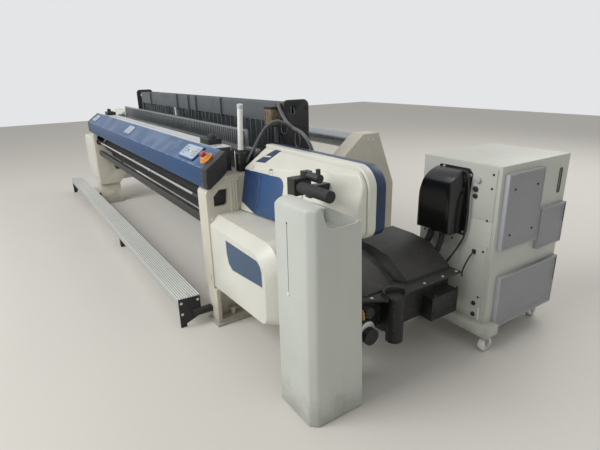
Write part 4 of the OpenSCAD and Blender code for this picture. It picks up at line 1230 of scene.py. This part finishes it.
@dataclass(frozen=True)
class DoorSkin:
    """The door's blue, with painted shade left of its crease, darker towards the bottom, and a painted
    highlight on its rounded edges.
    """

    name: str = "door_blue"
    # The shaded blue left of the crease and the lit blue right of it: painted shade.
    left: Colour = srgb("213a62")
    right: Colour = srgb("33527e")
    crease: float = 1.757

    def make(self) -> bpy.types.Material:
        """Builds the material."""
        skin = Skin(self.name)
        cloud = skin.noise(3.0, 4.0)
        # Painted shade: left of the crease the door takes the darker blue.
        side = skin.axis(Axis.X).step(self.crease - 0.02, self.crease + 0.03)
        colour = skin.mix(side, self.left, self.right)
        # Darker towards the bottom.
        low = (1.0 - skin.axis(Axis.Z) / 1.05).step(0.05, 0.4) * 0.35
        colour = skin.mix(low, colour, self.left)
        # A pale painted highlight on the rounded edges.
        edge_wear_and_highlight = skin.edge() * skin.noise(30.0, 4.0).step(0.4, 0.6) * 0.55
        colour = skin.mix(edge_wear_and_highlight, colour, srgb("8fa3bf"))
        rough = 0.38 + (cloud - 0.5) * 0.2
        return skin.finish(colour, rough, 0.0, [(cloud, 0.1, 0.004), (skin.noise(800.0), 0.06, 0.0005)])


def beside(x: float, y: float, z: float, turn: float, lean: float) -> Matrix:
    """A place turned about Z and then leaned about X, in degrees."""
    spin = Matrix.Rotation(math.radians(turn), 4, "Z") @ Matrix.Rotation(math.radians(lean), 4, "X")
    return Matrix.Translation((x, y, z)) @ spin


def to_metres(place: Matrix) -> Matrix:
    """The same place for a mesh that is already in metres."""
    moved = place.copy()
    moved.translation = at(*place.translation)
    return moved


@dataclass
class RightHousings:
    """The upper right housing: a soft shell with the door's recess, a second shell and a navy band."""

    palette: Palette
    trees: Trees
    end_x: float = OUTER_X + 930.0
    top_z: float = 1092.0
    foot_z: float = 716.0
    corner: float = 105.0
    front_y: float = 205.0
    front_z: float = 715.0
    turn: float = 7.0
    lean: float = -11.0
    brow: tuple[float, float] = (255.0, 970.0)
    crest_y: float = 430.0
    knuckle: float = 26.5
    badge_edge: float = 3.6

    def face(self) -> Matrix:
        """The place of the leaning front, from its lower left corner."""
        return beside(OUTER_X, self.front_y, self.front_z, self.turn, self.lean)

    def outline(self, inset: float) -> list[tuple[float, float]]:
        """The (X, Z) outline of the housing's end."""
        right, top, r = self.end_x - inset, self.top_z - inset, self.corner
        foot = arc((right - 60, self.foot_z + 90), 60, 270, 360, 6)
        head = arc((right - r, top - r), r, 0, 90, 10)
        return [(OUTER_X, self.foot_z), *foot, *head, (OUTER_X, top)]

    def shell(self) -> None:
        """The front shell, moulded in one with large soft shoulders."""
        side = [(455, self.foot_z), (455, self.top_z), (self.crest_y, self.top_z), self.brow,
                (self.front_y, self.foot_z)]
        shell = Piece("upper_housing_shell").prism(side, Axis.X, OUTER_X, self.end_x - OUTER_X)
        points = [(x, y, z) for inset, y0, y1 in ((60, 195, 325), (6, 390, 405))
                  for y in (y0, y1) for x, z in self.outline(inset)]
        shell.meet(Piece("reach").wrap(points))
        face = self.face()
        away = face.to_3x3() @ Vector((0, -1, 0))
        shell.halve(face.translation, away)
        shell.melt(voxel=5.0, steps=14)
        panel = [(540, 14), (790, 14), (786, 228), (776, 287), (762, 306), (738, 326), (702, 334),
                 (672, 336), (560, 336), (540, 320)]
        shell.cut(Piece("panel").prism(panel, Axis.Y, -9, 16).moved(face))
        strip = [(44, 60), (150, 72), (197, 232), (140, 226)]
        rise = math.degrees(math.atan2(self.top_z - self.brow[1], self.crest_y - self.brow[0]))
        slope = beside(OUTER_X, *self.brow, 0, rise)
        shell.cut(Piece("strip").prism(strip, Axis.Z, -3, 20).moved(slope))
        shell.cut(Piece("tunnel").block((OUTER_X - 1, 368, 1038.3), (OUTER_X + 560, 386, 1045.3)))
        shell.cut(self.door_hollow(face))
        shell.fixed(self.palette, "cream_plastic", replaces=["upper_housing_right"])
        inlay = [(47, 62), (148, 74), (190, 214), (132, 209)]
        Piece("strip_inlay").prism(inlay, Axis.Z, -3.4, 2.6).moved(slope).done(
            "loom_frame", self.palette.made["band_navy"], "blue_plastic", bevel=0.8)
        bar = [(50, 106), (142, 118), (145, 128), (53, 116)]
        Piece("strip_bar").prism(bar, Axis.Z, -2, 4.5).moved(slope).fixed(
            self.palette, "cream_plastic", bevel=1.4)

    def badge_rim(self) -> None:
        """The thin pale rim round the bare badge plate."""
        plate = Piece("badge").node("badge_plate")
        spots: dict[tuple[int, int], Vector] = {}
        for vert in plate.bm.verts:
            key = (round(vert.co.x), round(vert.co.z))
            if key not in spots or vert.co.y < spots[key].y:
                spots[key] = vert.co.copy()
        plate.bm.free()
        middle = sum(spots.values(), Vector()) / len(spots)
        ring = sorted(spots.values(), key=lambda v: math.atan2(v.z - middle.z, v.x - middle.x))
        Piece("badge_rim").tube([*ring, ring[0]], self.badge_edge, 8).fixed(self.palette, "cream_plastic")

    def door(self) -> None:
        """The door in blue and its knuckles in the housing's cream, both from the door's own form."""
        face = self.face()
        tall = 0.0
        for part, slot, finish, width in (
            ("door_skin", "blue_plastic", self.palette.made["door_blue"], 2.4),
            ("door_knuckles", "cream_plastic", self.palette["cream_plastic"], 0.8),
        ):
            piece = Piece(part).node("access_door").moved(face.inverted())
            piece.flatten()
            tall = tall or max(v.co.z for v in piece.bm.verts) - self.knuckle
            wide = max(v.co.x for v in piece.bm.verts)
            low, high = (tall, tall + 60) if part == "door_knuckles" else (-60, tall)
            piece.meet(Piece("reach").block((-40, -20, low), (wide + 40, 60, high))).rounded(width, 3)
            piece.moved(face).done("door", finish, slot, replaces=["access_door"])

    def door_hollow(self, face: Matrix) -> Piece:
        """The recess that the door and its knuckles lie in, 2 mm wider than the door all round."""
        door = Piece("door_hollow").node("access_door").moved(face.inverted())
        wide = max(v.co.x for v in door.bm.verts)
        tall = max(v.co.z for v in door.bm.verts) - self.knuckle
        door.bm.free()
        r, x0 = 46.0, 12.0
        bow = arc((wide - r, tall - r), r + 2, 0, 90, 8)
        ring = [(x0 + 150, 6), (wide + 2, 12), *bow, (x0, tall + 2), (x0, 56)]
        hollow = Piece("door_hollow").prism(ring, Axis.Y, -30, 40)
        for x in (60, 250):
            hollow.join(Piece("notch").block((x - 2, -30, tall - 2), (x + 32, 14, tall + 36)))
        return hollow.moved(face)

    def build(self) -> None:
        """Makes the shells, the band, the badge's rim and the door."""
        p = self.palette
        p.made["band_navy"] = Coating("band_navy", srgb("0f2c50"), 0.42, drift=0.15, grain=0.08,
                                      dust_and_sheen=0.1, dust_and_sheen_colour=srgb("5f6b7d")).make()
        p.made["door_blue"] = DoorSkin().make()
        self.shell()
        Piece("second_shell").prism(self.outline(0), Axis.Y, 405, 50).fixed(
            p, "cream_plastic", bevel=7, segments=4)
        soften("rear_band", p.made["band_navy"], 9.0, 4)
        self.badge_rim()
        self.door()


@dataclass
class Bin:
    """The moulded bin below the waste roller."""

    palette: Palette
    left: float = 2600.0
    right: float = 2864.0
    front: float = -25.0
    back: float = 265.0
    wall: float = 5.5
    low_rim: float = 925.0
    front_rim: float = 1003.0
    side_rim: float = 996.0
    top_rim: float = 1018.0
    ledge: float = 22.0

    def hull(self, t: float) -> list[tuple[float, float, float]]:
        """Corner points of the outer form, or of the hollow at wall thickness t."""
        a, b, f, k = self.left + t, self.right - t, self.front + t, self.back - t
        low, front, side, top = (z - t for z in (self.low_rim, self.front_rim, self.side_rim, self.top_rim))
        inner = a + self.ledge
        spots = [(a, k - 30, low), (b, k - 30, low)]
        for z, x in ((t, a), (front, inner)):
            spots += [(x, f, z), (b - 32, f, z), (b, f + 32, z)]
        spots += [(a, k, t), (b, k, t), (a, f, 985 - t), (a, f + 25, side), (a, 40, side)]
        spots += [(inner, f + 25, top), (b - 26, f + 25, top), (b, f + 51, top), (b, 40, top),
                  (inner, 40, top)]
        return spots

    def scoop(self) -> list[tuple[float, float]]:
        """The (Y, Z) outline of the rounded corner where the mouth dips on the right."""
        return arc((92, 965), 50, 180, 270, 8)

    def build(self) -> None:
        """Makes the bin, its lip and its hook."""
        p = self.palette
        shell = Piece("bin_shell").wrap(self.hull(0.0))
        shell.flatten().rounded(10.0, 4, 12.0)
        shell.cut(Piece("hollow").wrap(self.hull(self.wall)))
        shell.cut(Piece("top").block((2611, 50, 865), (2853, 224, 1100)))
        mouth = [(213, 1040), (50, 1040), (50, 1009), (26, 1009), (30, 985), *self.scoop(), (205, 919),
                 (213, 927)]
        shell.cut(Piece("mouth").prism(mouth, Axis.X, 2852, 20))
        slot = Piece("slot").block((2697, -30, 612), (2702, -15, 922))
        slot.join(Piece("hole").lathe([(-30, 6), (-15, 6)], (2699.5, 0, 922), Axis.Y, 20))
        shell.cut(slot)
        shell.fixed(p, "bin_plastic", replaces=["waste_bin"])
        edge = [(28, 1007), (31, 985), *self.scoop(), (150, 917), (205, 919), (213, 928)]
        Piece("bin_lip").tube([(2861.5, y, z) for y, z in edge], 4.2, 10).fixed(p, "bin_plastic")
        hook = [(-31, 3), (-30, 6.5), (-25, 7.5), (-20, 5)]
        Piece("bin_hook").lathe(hook, (2699.5, 0, 604), Axis.Y, 20).fixed(p, "white_plastic")


@dataclass
class Hood:
    """Keys and displays on the hood's pads, and the right pad's bezel."""

    palette: Palette
    trees: Trees
    slope: float = math.degrees(math.atan2(83, 111))
    pads: tuple[tuple[str, float, float], ...] = (
        ("right", 1450.0, 250.0), ("middle", -60.0, 180.0), ("left", -1560.0, 180.0))
    pad_up: float = 68.0
    pad_top: float = 9.3

    def on_pad(self, x: float) -> Matrix:
        """The top of the pad at x."""
        return beside(x, 5, 1000, 0, self.slope) @ Matrix.Translation((0, self.pad_up, self.pad_top))

    def keys(self, name: str, top: Matrix, middle: Point, slot: str, **sizes: float) -> None:
        """Makes one block of keys.

        Args:
            name: The piece's name.
            top: The top of its pad.
            middle: The middle of the block on that top, in metres.
            slot: The slot of its finish.
            sizes: The block's width and height, its keys each way, their radius and rise, in metres.
        """
        place = to_metres(top) @ Matrix.Translation(middle)
        self.trees.grid.fixed(name, self.palette, slot, place=place, **sizes)

    def build(self) -> None:
        """Makes them."""
        p = self.palette
        for name, x, wide in self.pads:
            top = self.on_pad(x)
            if name == "right":
                for i, middle in enumerate((-0.087, 0.086)):
                    self.keys(f"keys_right_{i + 1}", top, (middle, 0, 0.001), "screen_paint", Width=0.036,
                              Height=0.052, Across=3, Up=4, Radius=0.0045, Rise=0.0026)
                ring = [(-100, -54), (110, -54), (127, -48), (132, -30), (132, 40), (126, 52)]
                path = [top @ Vector((v.x, v.y, -2)) for v in curved([(*c, 0) for c in ring], 5)]
                Piece("pad_bezel").tube(path, 6.5, 12).fixed(p, "hood_blue")
            else:
                display = Piece(f"display_{name}").block((-wide / 2 + 16, -4, -0.5), (wide / 2 - 60, 30, 1.2))
                display.moved(top).fixed(p, "screen_paint", bevel=0.8)
                self.keys(f"keys_{name}", top, (-0.01, -0.021, 0.001), "pad_plastic", Width=0.13,
                          Height=0.022, Across=8, Up=2, Radius=0.0055, Rise=0.003)


@dataclass
class SleyGroup:
    """The reed's dents and the heald wires."""

    palette: Palette
    trees: Trees

    def build(self) -> None:
        """Makes them."""
        steel = self.palette["reed_steel"]
        self.trees.row.grow(
            "reed_dents", bpy.data.meshes.new("dents"), steel, "sley", "reed_steel",
            Count=420, Start=at(-1548, 394, 1100), Step=Vector((0.00739, 0, 0)),
            Size=Vector((0.0014, 0.007, 0.098)))
        for i in range(6):
            self.trees.row.grow(
                f"heald_wires_{i + 1}", bpy.data.meshes.new("wires"), steel, f"heald_frame_{i + 1}",
                "reed_steel", Count=240, Start=at(-1434, 606 + 28 * i, 1031), Step=Vector((0.012, 0, 0)),
                Size=Vector((0.0012, 0.0012, 0.326)))


@dataclass
class Lamp:
    """The lamp tube in its dark holder."""

    palette: Palette
    x: float = 1700.0
    y: float = 275.0
    half: float = 28.0

    def build(self) -> None:
        """Makes the tube, its collars, the holder and the strip on it."""
        p = self.palette
        lean = Matrix.Translation((self.x, self.y, 1046)) @ Matrix.Rotation(math.radians(6), 4, "Y")
        tube = [(20, 16), (262, 16), (266, 14)]
        Piece("lamp_tube").lathe(tube, (0, 0, 0), Axis.Z, 32).moved(lean).fixed(p, "white_plastic")
        ends = Piece("lamp_collars").lathe([(0, 15), (1, 19), (22, 19), (24, 16.5)], (0, 0, 0), Axis.Z, 32)
        ends.lathe([(262, 17), (264, 18), (284, 18), (287, 14)], (0, 0, 0), Axis.Z, 32).moved(lean)
        ends.fixed(p, "table_steel")
        boss = Piece("boss").lathe([(1030, 24), (1062, 22), (1066, 19)], (self.x, self.y, 0), Axis.Z)
        holder = Piece("lamp_holder").block((self.x - self.half, self.y - self.half, 933.7),
                                            (self.x + self.half, self.y + self.half, 1049))
        holder.rounded(9.0, 4).join(boss)
        holder.fixed(p, "black_castings", replaces=["lamp_post"])
        Piece("lamp_strip").block((1676, 243.5, 940), (1684, 248, 1056)).fixed(p, "white_plastic", bevel=1.2)


@dataclass
class Cabinet:
    """The cabinet's raised lint screens with their screws, its handle's rim and its glossy cover."""

    palette: Palette
    trees: Trees
    face_x: float = 2900.0
    screens: tuple[tuple[str, float, float, float, float], ...] = (
        ("upper", 1131.0, 1457.0, 590.0, 995.0), ("middle", 1485.0, 1727.0, 520.0, 760.0),
        ("lower", 1165.0, 1727.0, 125.0, 428.0))
    pitch: float = 9.0
    depth: float = 26.0
    fold: float = 7.0

    def lint_screens(self) -> list[tuple[Point, Point]]:
        """Makes the screens' frames, their mesh and the dark plates behind them, which paint the shade seen
        through the holes.

        Returns:
            The places of the upper screen's screws and where they face.
        """
        p = self.palette
        flat = Matrix(((0, 0, 1), (1, 0, 0), (0, 1, 0))).to_4x4()
        frames = Piece("screen_frames")
        shade_backs = Piece("screen_backs")
        spots: list[tuple[Point, Point]] = []
        for name, y0, y1, z0, z1 in self.screens:
            x0, x1, w = self.face_x, self.face_x + self.depth, self.fold
            frames.block((x0, y0, z0), (x1, y0 + w, z1)).block((x0, y1 - w, z0), (x1, y1, z1))
            frames.block((x0, y0 + w, z0), (x1, y1 - w, z0 + w)).block((x0, y0 + w, z1 - w), (x1, y1 - w, z1))
            # A dark plate behind each sheet: painted shade seen through its holes.
            shade_backs.block((x0, y0 + w, z0 + w), (x0 + 5, y1 - w, z1 - w))
            if name == "upper":
                spots = [((x1 - 2.6, y, z), (1, 0, 0))
                         for y in (y0 + 66, y1 - 60) for z in (z0 + 78, z1 - 82)]
            across, up = (round((b - a - 2 * w + 6) / self.pitch) for a, b in ((y0, y1), (z0, z1)))
            place = Matrix.Translation(at(x1 - 3, (y0 + y1) / 2, (z0 + z1) / 2)) @ flat
            self.trees.sieve.fixed(f"sieve_{name}", p, "screen_paint", place=place, Across=across, Up=up,
                                   Pitch=self.pitch / 1000, Hole=0.0031)
        frames.fixed(p, "screen_paint", bevel=1.4, replaces=["lint_screens"])
        # A dark plate in the handle's recess: painted shade.
        shade_backs.block((2885, 1648, 822), (2889.5, 1672, 958))
        # The plates' grey is painted shade.
        shade = Coating("screen_shade", srgb("85888d"), 0.6, dust_and_sheen=0.2).make()
        shade_backs.done("loom_frame", shade, "screen_paint", bevel=0.6)
        return spots

    def handle_rim(self) -> None:
        """Makes the rim round the handle's recess."""
        rim = [(self.face_x, 1660 + 13 * side, z) for side, z in (
            (1, 832), (1, 950), (0.6, 960), (-0.6, 960), (-1, 950), (-1, 832), (-0.6, 821), (0.6, 821),
            (1, 832))]
        Piece("handle_rim").tube(rim, 2.6, 8).fixed(self.palette, "black_plastic")

    def cover_gloss(self) -> None:
        """Gives the moulded cover its own glossy finish."""
        gloss = Coating("cover_black", srgb("0c0c0d"), 0.24, drift=0.2, grain=0.03, dust_and_sheen=0.12,
                        dust_and_sheen_colour=srgb("56534d"), coat=0.3).make()
        dress(bpy.data.objects["drive_cover_skin"], gloss)

    def build(self) -> None:
        """Makes all of them."""
        screws = self.lint_screens()
        self.handle_rim()
        self.cover_gloss()
        self.trees.stud.fixed("screen_screws", self.palette, "black_plastic", spot_mesh(screws),
                              Radius=0.0045, Rise=0.005)


@dataclass
class Lines:
    """Conduits, hoses and cables, each run from one part of the loom to another."""

    palette: Palette
    trees: Trees

    def run(
        self,
        name: str,
        points: Sequence[Point],
        radius: float,
        ripple: float = 0.0,
        slot: str = "grip_rubber",
        pitch: float = 9.0,
        finish: str = "",
    ) -> None:
        """Args:
            name: The piece's name.
            points: Where it passes.
            radius: Its radius in millimetres.
            ripple: Share of the radius that its ribs stand out.
            slot: The slot of its finish.
            pitch: Distance of its ribs in millimetres.
            finish: Its finish where that isn't the slot's own.
        """
        line = curved(points)
        piece = self.trees.hose.grow(
            name, line_mesh(line), self.palette[finish or slot], "loom_frame", slot, Radius=radius / 1000,
            Ripple=ripple, Pitch=pitch / 1000, Step=(pitch / 5000 if ripple else 0.006))
        length = sum((b - a).length for a, b in zip(line, line[1:])) / 1000

    def build(self) -> None:
        """Makes all of them."""
        self.palette.made["conduit_grey"] = Coating(
            "conduit_grey", srgb("4d5054"), 0.5, drift=0.2, drift_size=20.0, dust_and_sheen=0.3).make()
        self.run("conduit_rear", [
            (1680, 566, 1286), (1682, 560, 1309), (1702, 556, 1290), (1762, 558, 1222), (1838, 562, 1182),
            (1930, 566, 1158), (1995, 575, 1105), (2030, 590, 1010), (2052, 612, 860), (2062, 640, 680),
            (2064, 650, 530)], 11.5, 0.12, finish="conduit_grey")
        self.run("conduit_front", [
            (1722, 300, 985), (1735, 330, 1040), (1738, 380, 1120), (1752, 430, 1188), (1782, 480, 1222),
            (1815, 530, 1208), (1838, 556, 1186)], 9, 0.12, finish="conduit_grey")
        self.run("cable_loop_near", [
            (1770, 556, 1214), (1796, 552, 1196), (1800, 550, 1165), (1776, 548, 1140), (1746, 548, 1142),
            (1731, 550, 1170), (1742, 554, 1202), (1762, 558, 1216)],
            2.4, slot="pad_plastic", finish="conduit_grey")
        self.run("cable_loop_far", [
            (1880, 562, 1170), (1915, 558, 1150), (1934, 554, 1115), (1922, 552, 1080), (1896, 552, 1076),
            (1876, 556, 1106), (1872, 562, 1150), (1888, 565, 1168)],
            2.4, slot="pad_plastic", finish="conduit_grey")
        self.run("cable_upright", [
            (1678, 568, 1184), (1666, 560, 1140), (1660, 562, 1080), (1666, 574, 1020), (1672, 590, 985)],
            3.4, slot="pad_plastic", finish="conduit_grey")
        self.run("lamp_cable", [
            (1706, 296, 990), (1712, 318, 975), (1716, 360, 1075), (1712, 424, 1070), (1706, 468, 1040),
            (1704, 478, 950)], 4.5)
        self.run("drive_hose_left", [
            (2535, 1050, 652), (2532, 1048, 600), (2515, 1034, 540), (2490, 1012, 480), (2478, 1000, 425)],
            19, 0.08, pitch=14.0)
        self.run("drive_hose_right", [
            (2610, 1050, 652), (2612, 1046, 590), (2602, 1030, 520), (2585, 1008, 460), (2578, 998, 415)],
            15, 0.0)
        self.run("cover_cable", [
            (2690, 1085, 985), (2722, 1078, 975), (2738, 1080, 880), (2742, 1084, 740), (2732, 1086, 640),
            (2700, 1082, 560), (2668, 1050, 480), (2655, 1020, 430)], 5.5)


@dataclass
class Fittings:
    """What every group of small parts has: the finishes, the trees and screw heads."""

    palette: Palette
    trees: Trees

    def studs(self, name: str, spots: Sequence[tuple[Point, Point]], slot: str, radius: float) -> None:
        """Makes one group of screw heads.

        Args:
            name: The piece's name.
            spots: Each head's place in loom millimetres and where it faces.
            slot: The slot of its finish.
            radius: A head's radius in millimetres.
        """
        self.trees.stud.fixed(name, self.palette, slot, spot_mesh(spots), Radius=radius / 1000,
                              Rise=radius / 1300)


@dataclass
class HarnessEnd(Fittings):
    """The valve box on its shelf, the terminal block, the temples' knobs and the guides' bolts."""

    shelf_z: float = 1186.0
    box: tuple[float, float, float, float] = (1602.0, 1688.0, 505.0, 574.0)
    box_h: float = 106.0
    lid_over: float = 3.0
    terminal_tops: tuple[float, float, float] = (992.0, 1022.0, 1030.0)
    glands: tuple[tuple[float, float, int, float], ...] = (
        (1676, 418, 1, 9), (1690, 452, 1, 8), (1722, 440, 0, 10), (1748, 425, 0, 8), (1728, 500, 2, 9),
        (1748, 535, 2, 10))
    knob_x: float = 1485.0
    bolt_x: float = 1710.0

    def valve(self) -> None:
        """The shelf, the box with its dent and the lid."""
        p = self.palette
        p.made["amber_brown"] = Coating(
            "valve_brown", srgb("7a6a50"), 0.5, drift=0.3, drift_size=20.0, dust_and_sheen=0.4, speckle=0.3).make()
        x0, x1, y0, y1 = self.box
        foot, top, over = self.shelf_z, self.shelf_z + self.box_h, self.lid_over
        shelf = Piece("valve_shelf").block((x0 - 4, y0 - 5, foot - 8), (x1 + 12, y1 + 10, foot))
        shelf.block((x1 - 2, y1 - 14, foot - 66), (x1 + 6, y1 + 10, foot - 6))
        shelf.fixed(p, "black_castings", bevel=1)
        box = Piece("valve_box").block((x0, y0, foot), (x1, y1, top)).rounded(5, 3)
        box.cut(Piece("dent").block((x0 + 10, y0 - 15, foot + 14), (x1 - 10, y0 + 3, top - 24)))
        box.done("loom_frame", p["amber_brown"], "badge_grey")
        lid = Piece("valve_lid").block((x0 - over, y0 - over, top - 10), (x1 + over, y1 + over, top + 8))
        lid.fixed(p, "black_castings", bevel=3)

    def terminals(self) -> None:
        """The terminal block with its two towers and its glands."""
        low, near, far = self.terminal_tops
        block = Piece("terminal_block").block((1656, 402, low - 70), (1766, 578, low))
        block.block((1662, 410, low - 7), (1700, 470, near)).block((1712, 480, low - 7), (1760, 560, far))
        block.fixed(self.palette, "black_castings", bevel=4, segments=3)
        glands = Piece("terminal_glands")
        for x, y, level, r in self.glands:
            gland = [(-3, r), (8, r), (9, r - 2), (22, r - 2), (24, r - 4)]
            glands.lathe(gland, (x, y, self.terminal_tops[level]), Axis.Z, 20)
        glands.fixed(self.palette, "table_steel")

    def build(self) -> None:
        """Makes all of it."""
        self.valve()
        self.terminals()
        knob = Piece("temple_knobs")
        profile = [(-34, 20), (-30, 28), (-8, 28), (-4, 22), (2, 20), (4, 12)]
        for side in (1, -1):
            knob.lathe(profile, (side * self.knob_x, 205, 1120), Axis.Y, 32)
        knob.fixed(self.palette, "black_castings")
        bolts = [((side * self.bolt_x, y, z), (side, 0, 0))
                 for side in (1, -1) for y in (602, 750) for z in (1020, 1150, 1280)]
        self.studs("harness_bolts", bolts, "black_castings", 7)


@dataclass
class CabinetFront(Fittings):
    """The cabinet front: panel and cover screws, gland, sockets, latch, slot and the door's rim."""

    face: float = 1105.0
    cover_face: float = 1098.7
    door: tuple[float, float, float, float] = (2424.0, 2866.0, 190.0, 600.0)
    screws: tuple[tuple[float, float], ...] = (
        (2854, 989), (2852, 916), (2845, 744), (2843, 570), (2440, 590), (2440, 300), (2843, 300),
        (2440, 200), (2640, 590))
    cover_screws: tuple[tuple[float, float], ...] = ((2476, 652), (2706, 646), (2726, 966), (2548, 990))
    sockets: tuple[tuple[float, float, float], ...] = (
        (2760, 898, 15), (2762, 861, 13), (2821, 256, 12), (2824, 190, 12))

    def latch(self) -> None:
        """The bent latch bar and the block it turns in."""
        face = self.face
        bar = curved([(2790, face - 6, 556), (2778, face - 24, 520), (2752, face - 26, 450),
                      (2735, face - 12, 398), (2732, face + 1, 390)], 5)
        latch = Piece("cabinet_latch").tube(bar, 4, 12)
        latch.block((2782, face - 9, 546), (2800, face + 1, 568))
        latch.fixed(self.palette, "black_plastic")

    def build(self) -> None:
        """Makes all of it."""
        p, face = self.palette, self.face
        panel = [((x, face, z), (0, -1, 0)) for x, z in self.screws]
        self.studs("cabinet_screws", panel, "black_plastic", 4.5)
        cover = [((x, self.cover_face, z), (0, -1, 0)) for x, z in self.cover_screws]
        self.studs("cover_screws", cover, "bright_chrome", 6.5)
        gland = [(-16, 11), (-14, 15), (-4, 15), (-3, 19), (3, 19)]
        Piece("cabinet_gland").lathe(gland, (2772, face, 949), Axis.Y, 24).fixed(p, "screen_paint")
        sockets = Piece("cabinet_sockets")
        for x, z, r in self.sockets:
            ring = [(-9, r - 6), (-8, r - 5), (-9, r - 3), (-7, r), (2, r + 1)]
            sockets.lathe(ring, (x, face, z), Axis.Y, 24)
        sockets.fixed(p, "black_plastic")
        self.latch()
        slot = Piece("cabinet_slot").block((2851, face - 3, 165), (2860, face + 1, 240))
        slot.fixed(p, "white_plastic", bevel=1.5)
        x0, x1, z0, z1 = self.door
        rim = [(x, face - 0.5, z) for x, z in ((x0, z1), (x1, z1), (x1, z0), (x0, z0), (x0, z1))]
        Piece("cabinet_door_rim").tube(rim, 1.4, 8).fixed(p, "cabinet_paint")


@dataclass
class DobbyFittings(Fittings):
    """The dobby's bolts, its brass valve and the clamp round its motor."""

    box_x: float = 2775.0
    rim_z: float = 452.0
    rim_bolts: tuple[tuple[float, float], ...] = (
        (2660, 345), (2722, 430), (2758, 760), (2758, 900), (2758, 1010))

    def build(self) -> None:
        """Makes all of it."""
        self.palette.made["brass"] = Metal("brass", srgb("b08d4c"), 0.35, stain=0.5).make()
        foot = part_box("dobby_case")[0][2] * 1000
        box = [((self.box_x, y, z), (1, 0, 0)) for y in (832, 1006) for z in (foot + 52, foot + 156)]
        self.studs("dobby_box_bolts", box, "black_castings", 6.5)
        rim = [((x, y, self.rim_z), (0, 0, 1)) for x, y in self.rim_bolts]
        self.studs("dobby_rim_bolts", rim, "table_steel", 6)
        profile = [(-26, 7), (-24, 10), (-8, 10), (-6, 7), (10, 7), (12, 5)]
        valve = Piece("dobby_valve").lathe(profile, (2752, 352, 400), Axis.Z, 16)
        valve.block((2744, 340, 404), (2760, 346, 430)).block((2700, 346, 382), (2748, 358, 394))
        valve.done("loom_frame", self.palette["brass"], "bright_chrome", bevel=1)
        clamp = Piece("motor_clamp").lathe([(0, 44.5), (1, 46), (15, 46), (16, 44.5)],
                                           (2712, 405, foot + 82), Axis.X, 40)
        clamp.fixed(self.palette, "table_steel")


@dataclass
class TableMarks(Fittings):
    """Dark marks that paint the shade in the cloth table's slots and holes, and the ribbed sleeve of the
    front rod.
    """

    top_z: float = 1082.1
    # Each row of dark marks, painted shade of the table's slots and holes: name, Y, count, first X, step and
    # width.
    rows: tuple[tuple[str, float, int, float, float, float], ...] = (
        ("table_slots", 163, 54, -1590, 60, 24), ("table_dots", 180, 210, -1600, 9, 3),
        ("table_dots_rear", 226, 210, -1600, 9, 3))
    rod: tuple[float, float] = (60.0, 765.0)
    sleeve: tuple[float, float] = (1040.0, 1404.0)

    def build(self) -> None:
        """Makes all of it."""
        for name, y, count, first, step, wide in self.rows:
            self.trees.row.fixed(
                name, self.palette, "black_plastic", Count=count, Start=at(first, y, self.top_z),
                Step=Vector((step / 1000, 0, 0)), Size=Vector((wide / 1000, 0.0035, 0.0008)))
        sleeve = line_mesh([(x, *self.rod) for x in self.sleeve])
        self.trees.hose.grow("rod_sleeve", sleeve, self.palette["bright_chrome"], "guide_rod",
                             "bright_chrome", Radius=0.0132, Ripple=0.07, Pitch=0.006, Step=0.0015)


@dataclass
class FrameFittings(Fittings):
    """Bolts of the frame and the plank, and dark sheets behind the frame's windows that paint the shade seen
    through them.
    """

    side_bolts: tuple[tuple[float, float], ...] = (
        (26, 690), (26, 420), (1000, 420), (1230, 1035), (1270, 1035), (1300, 505), (1360, 505), (1330, 430))
    # Where the dark sheets behind the windows stand, which paint the shade seen through them.
    liner: tuple[float, float] = (1752.0, 1757.0)
    window: tuple[float, float, float, float] = (40.0, 156.0, 757.0, 872.0)

    def build(self) -> None:
        """Makes all of it."""
        sides = [((side * OUTER_X, y, z), (side, 0, 0)) for side in (1, -1) for y, z in self.side_bolts]
        self.studs("frame_bolts", sides, "table_steel", 8)
        end = [((1696, y, z), (1, 0, 0)) for y in (-190, -84) for z in (90, 165)]
        top = [((x, -137, 195), (0, 0, 1)) for x in (1672, 1640, -2540)]
        self.studs("plank_bolts", end + top, "table_steel", 6)
        inner, outer = self.liner
        y0, y1, z0, z1 = self.window
        # Painted shade: a dark sheet behind each window of both side frames.
        liner = Piece("window_liner").block((inner, y0, z0), (outer, y1, z1))
        liner.block((-outer, y0, z0), (-inner, y1, z1))
        liner.fixed(self.palette, "black_plastic", bevel=0.5)


@dataclass
class Rest:
    """The nodes that keep their own form and only take a finish."""

    palette: Palette

    def build(self) -> None:
        """Dresses every node that is still bare."""
        shown = set()
        for piece in bpy.data.objects:
            shown.update(piece.get("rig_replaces", []))
        for part in frame["record"]["subparts"]:
            node = part["node"]
            if node in shown:
                continue
            recolour(node, self.palette[part["material_slot"]])


def main() -> None:
    """Builds the loom's looks, sub-assembly by sub-assembly."""
    logging.basicConfig(level=logging.INFO, format="%(name)s: %(message)s")
    palette = Palette()
    palette.build()
    LOG.info("%d finishes", len(palette.made))
    trees = Trees()
    parts = (
        Studio(), Carcass(palette), Rounding(palette), RightHousings(palette, trees), Bin(palette),
        Hood(palette, trees), SleyGroup(palette, trees), Lamp(palette), Cabinet(palette, trees),
        HarnessEnd(palette, trees), CabinetFront(palette, trees), DobbyFittings(palette, trees),
        TableMarks(palette, trees), FrameFittings(palette, trees), Lines(palette, trees), Rest(palette),
    )
    for part in parts:
        before = set(bpy.data.objects)
        part.build()
        for piece in sorted(set(bpy.data.objects) - before, key=lambda o: o.name):
            if piece.type == "MESH":
                LOG.info("%s: %s, %d faces", type(part).__name__, piece.name, len(piece.data.polygons))


if __name__ == "__main__":
    main()
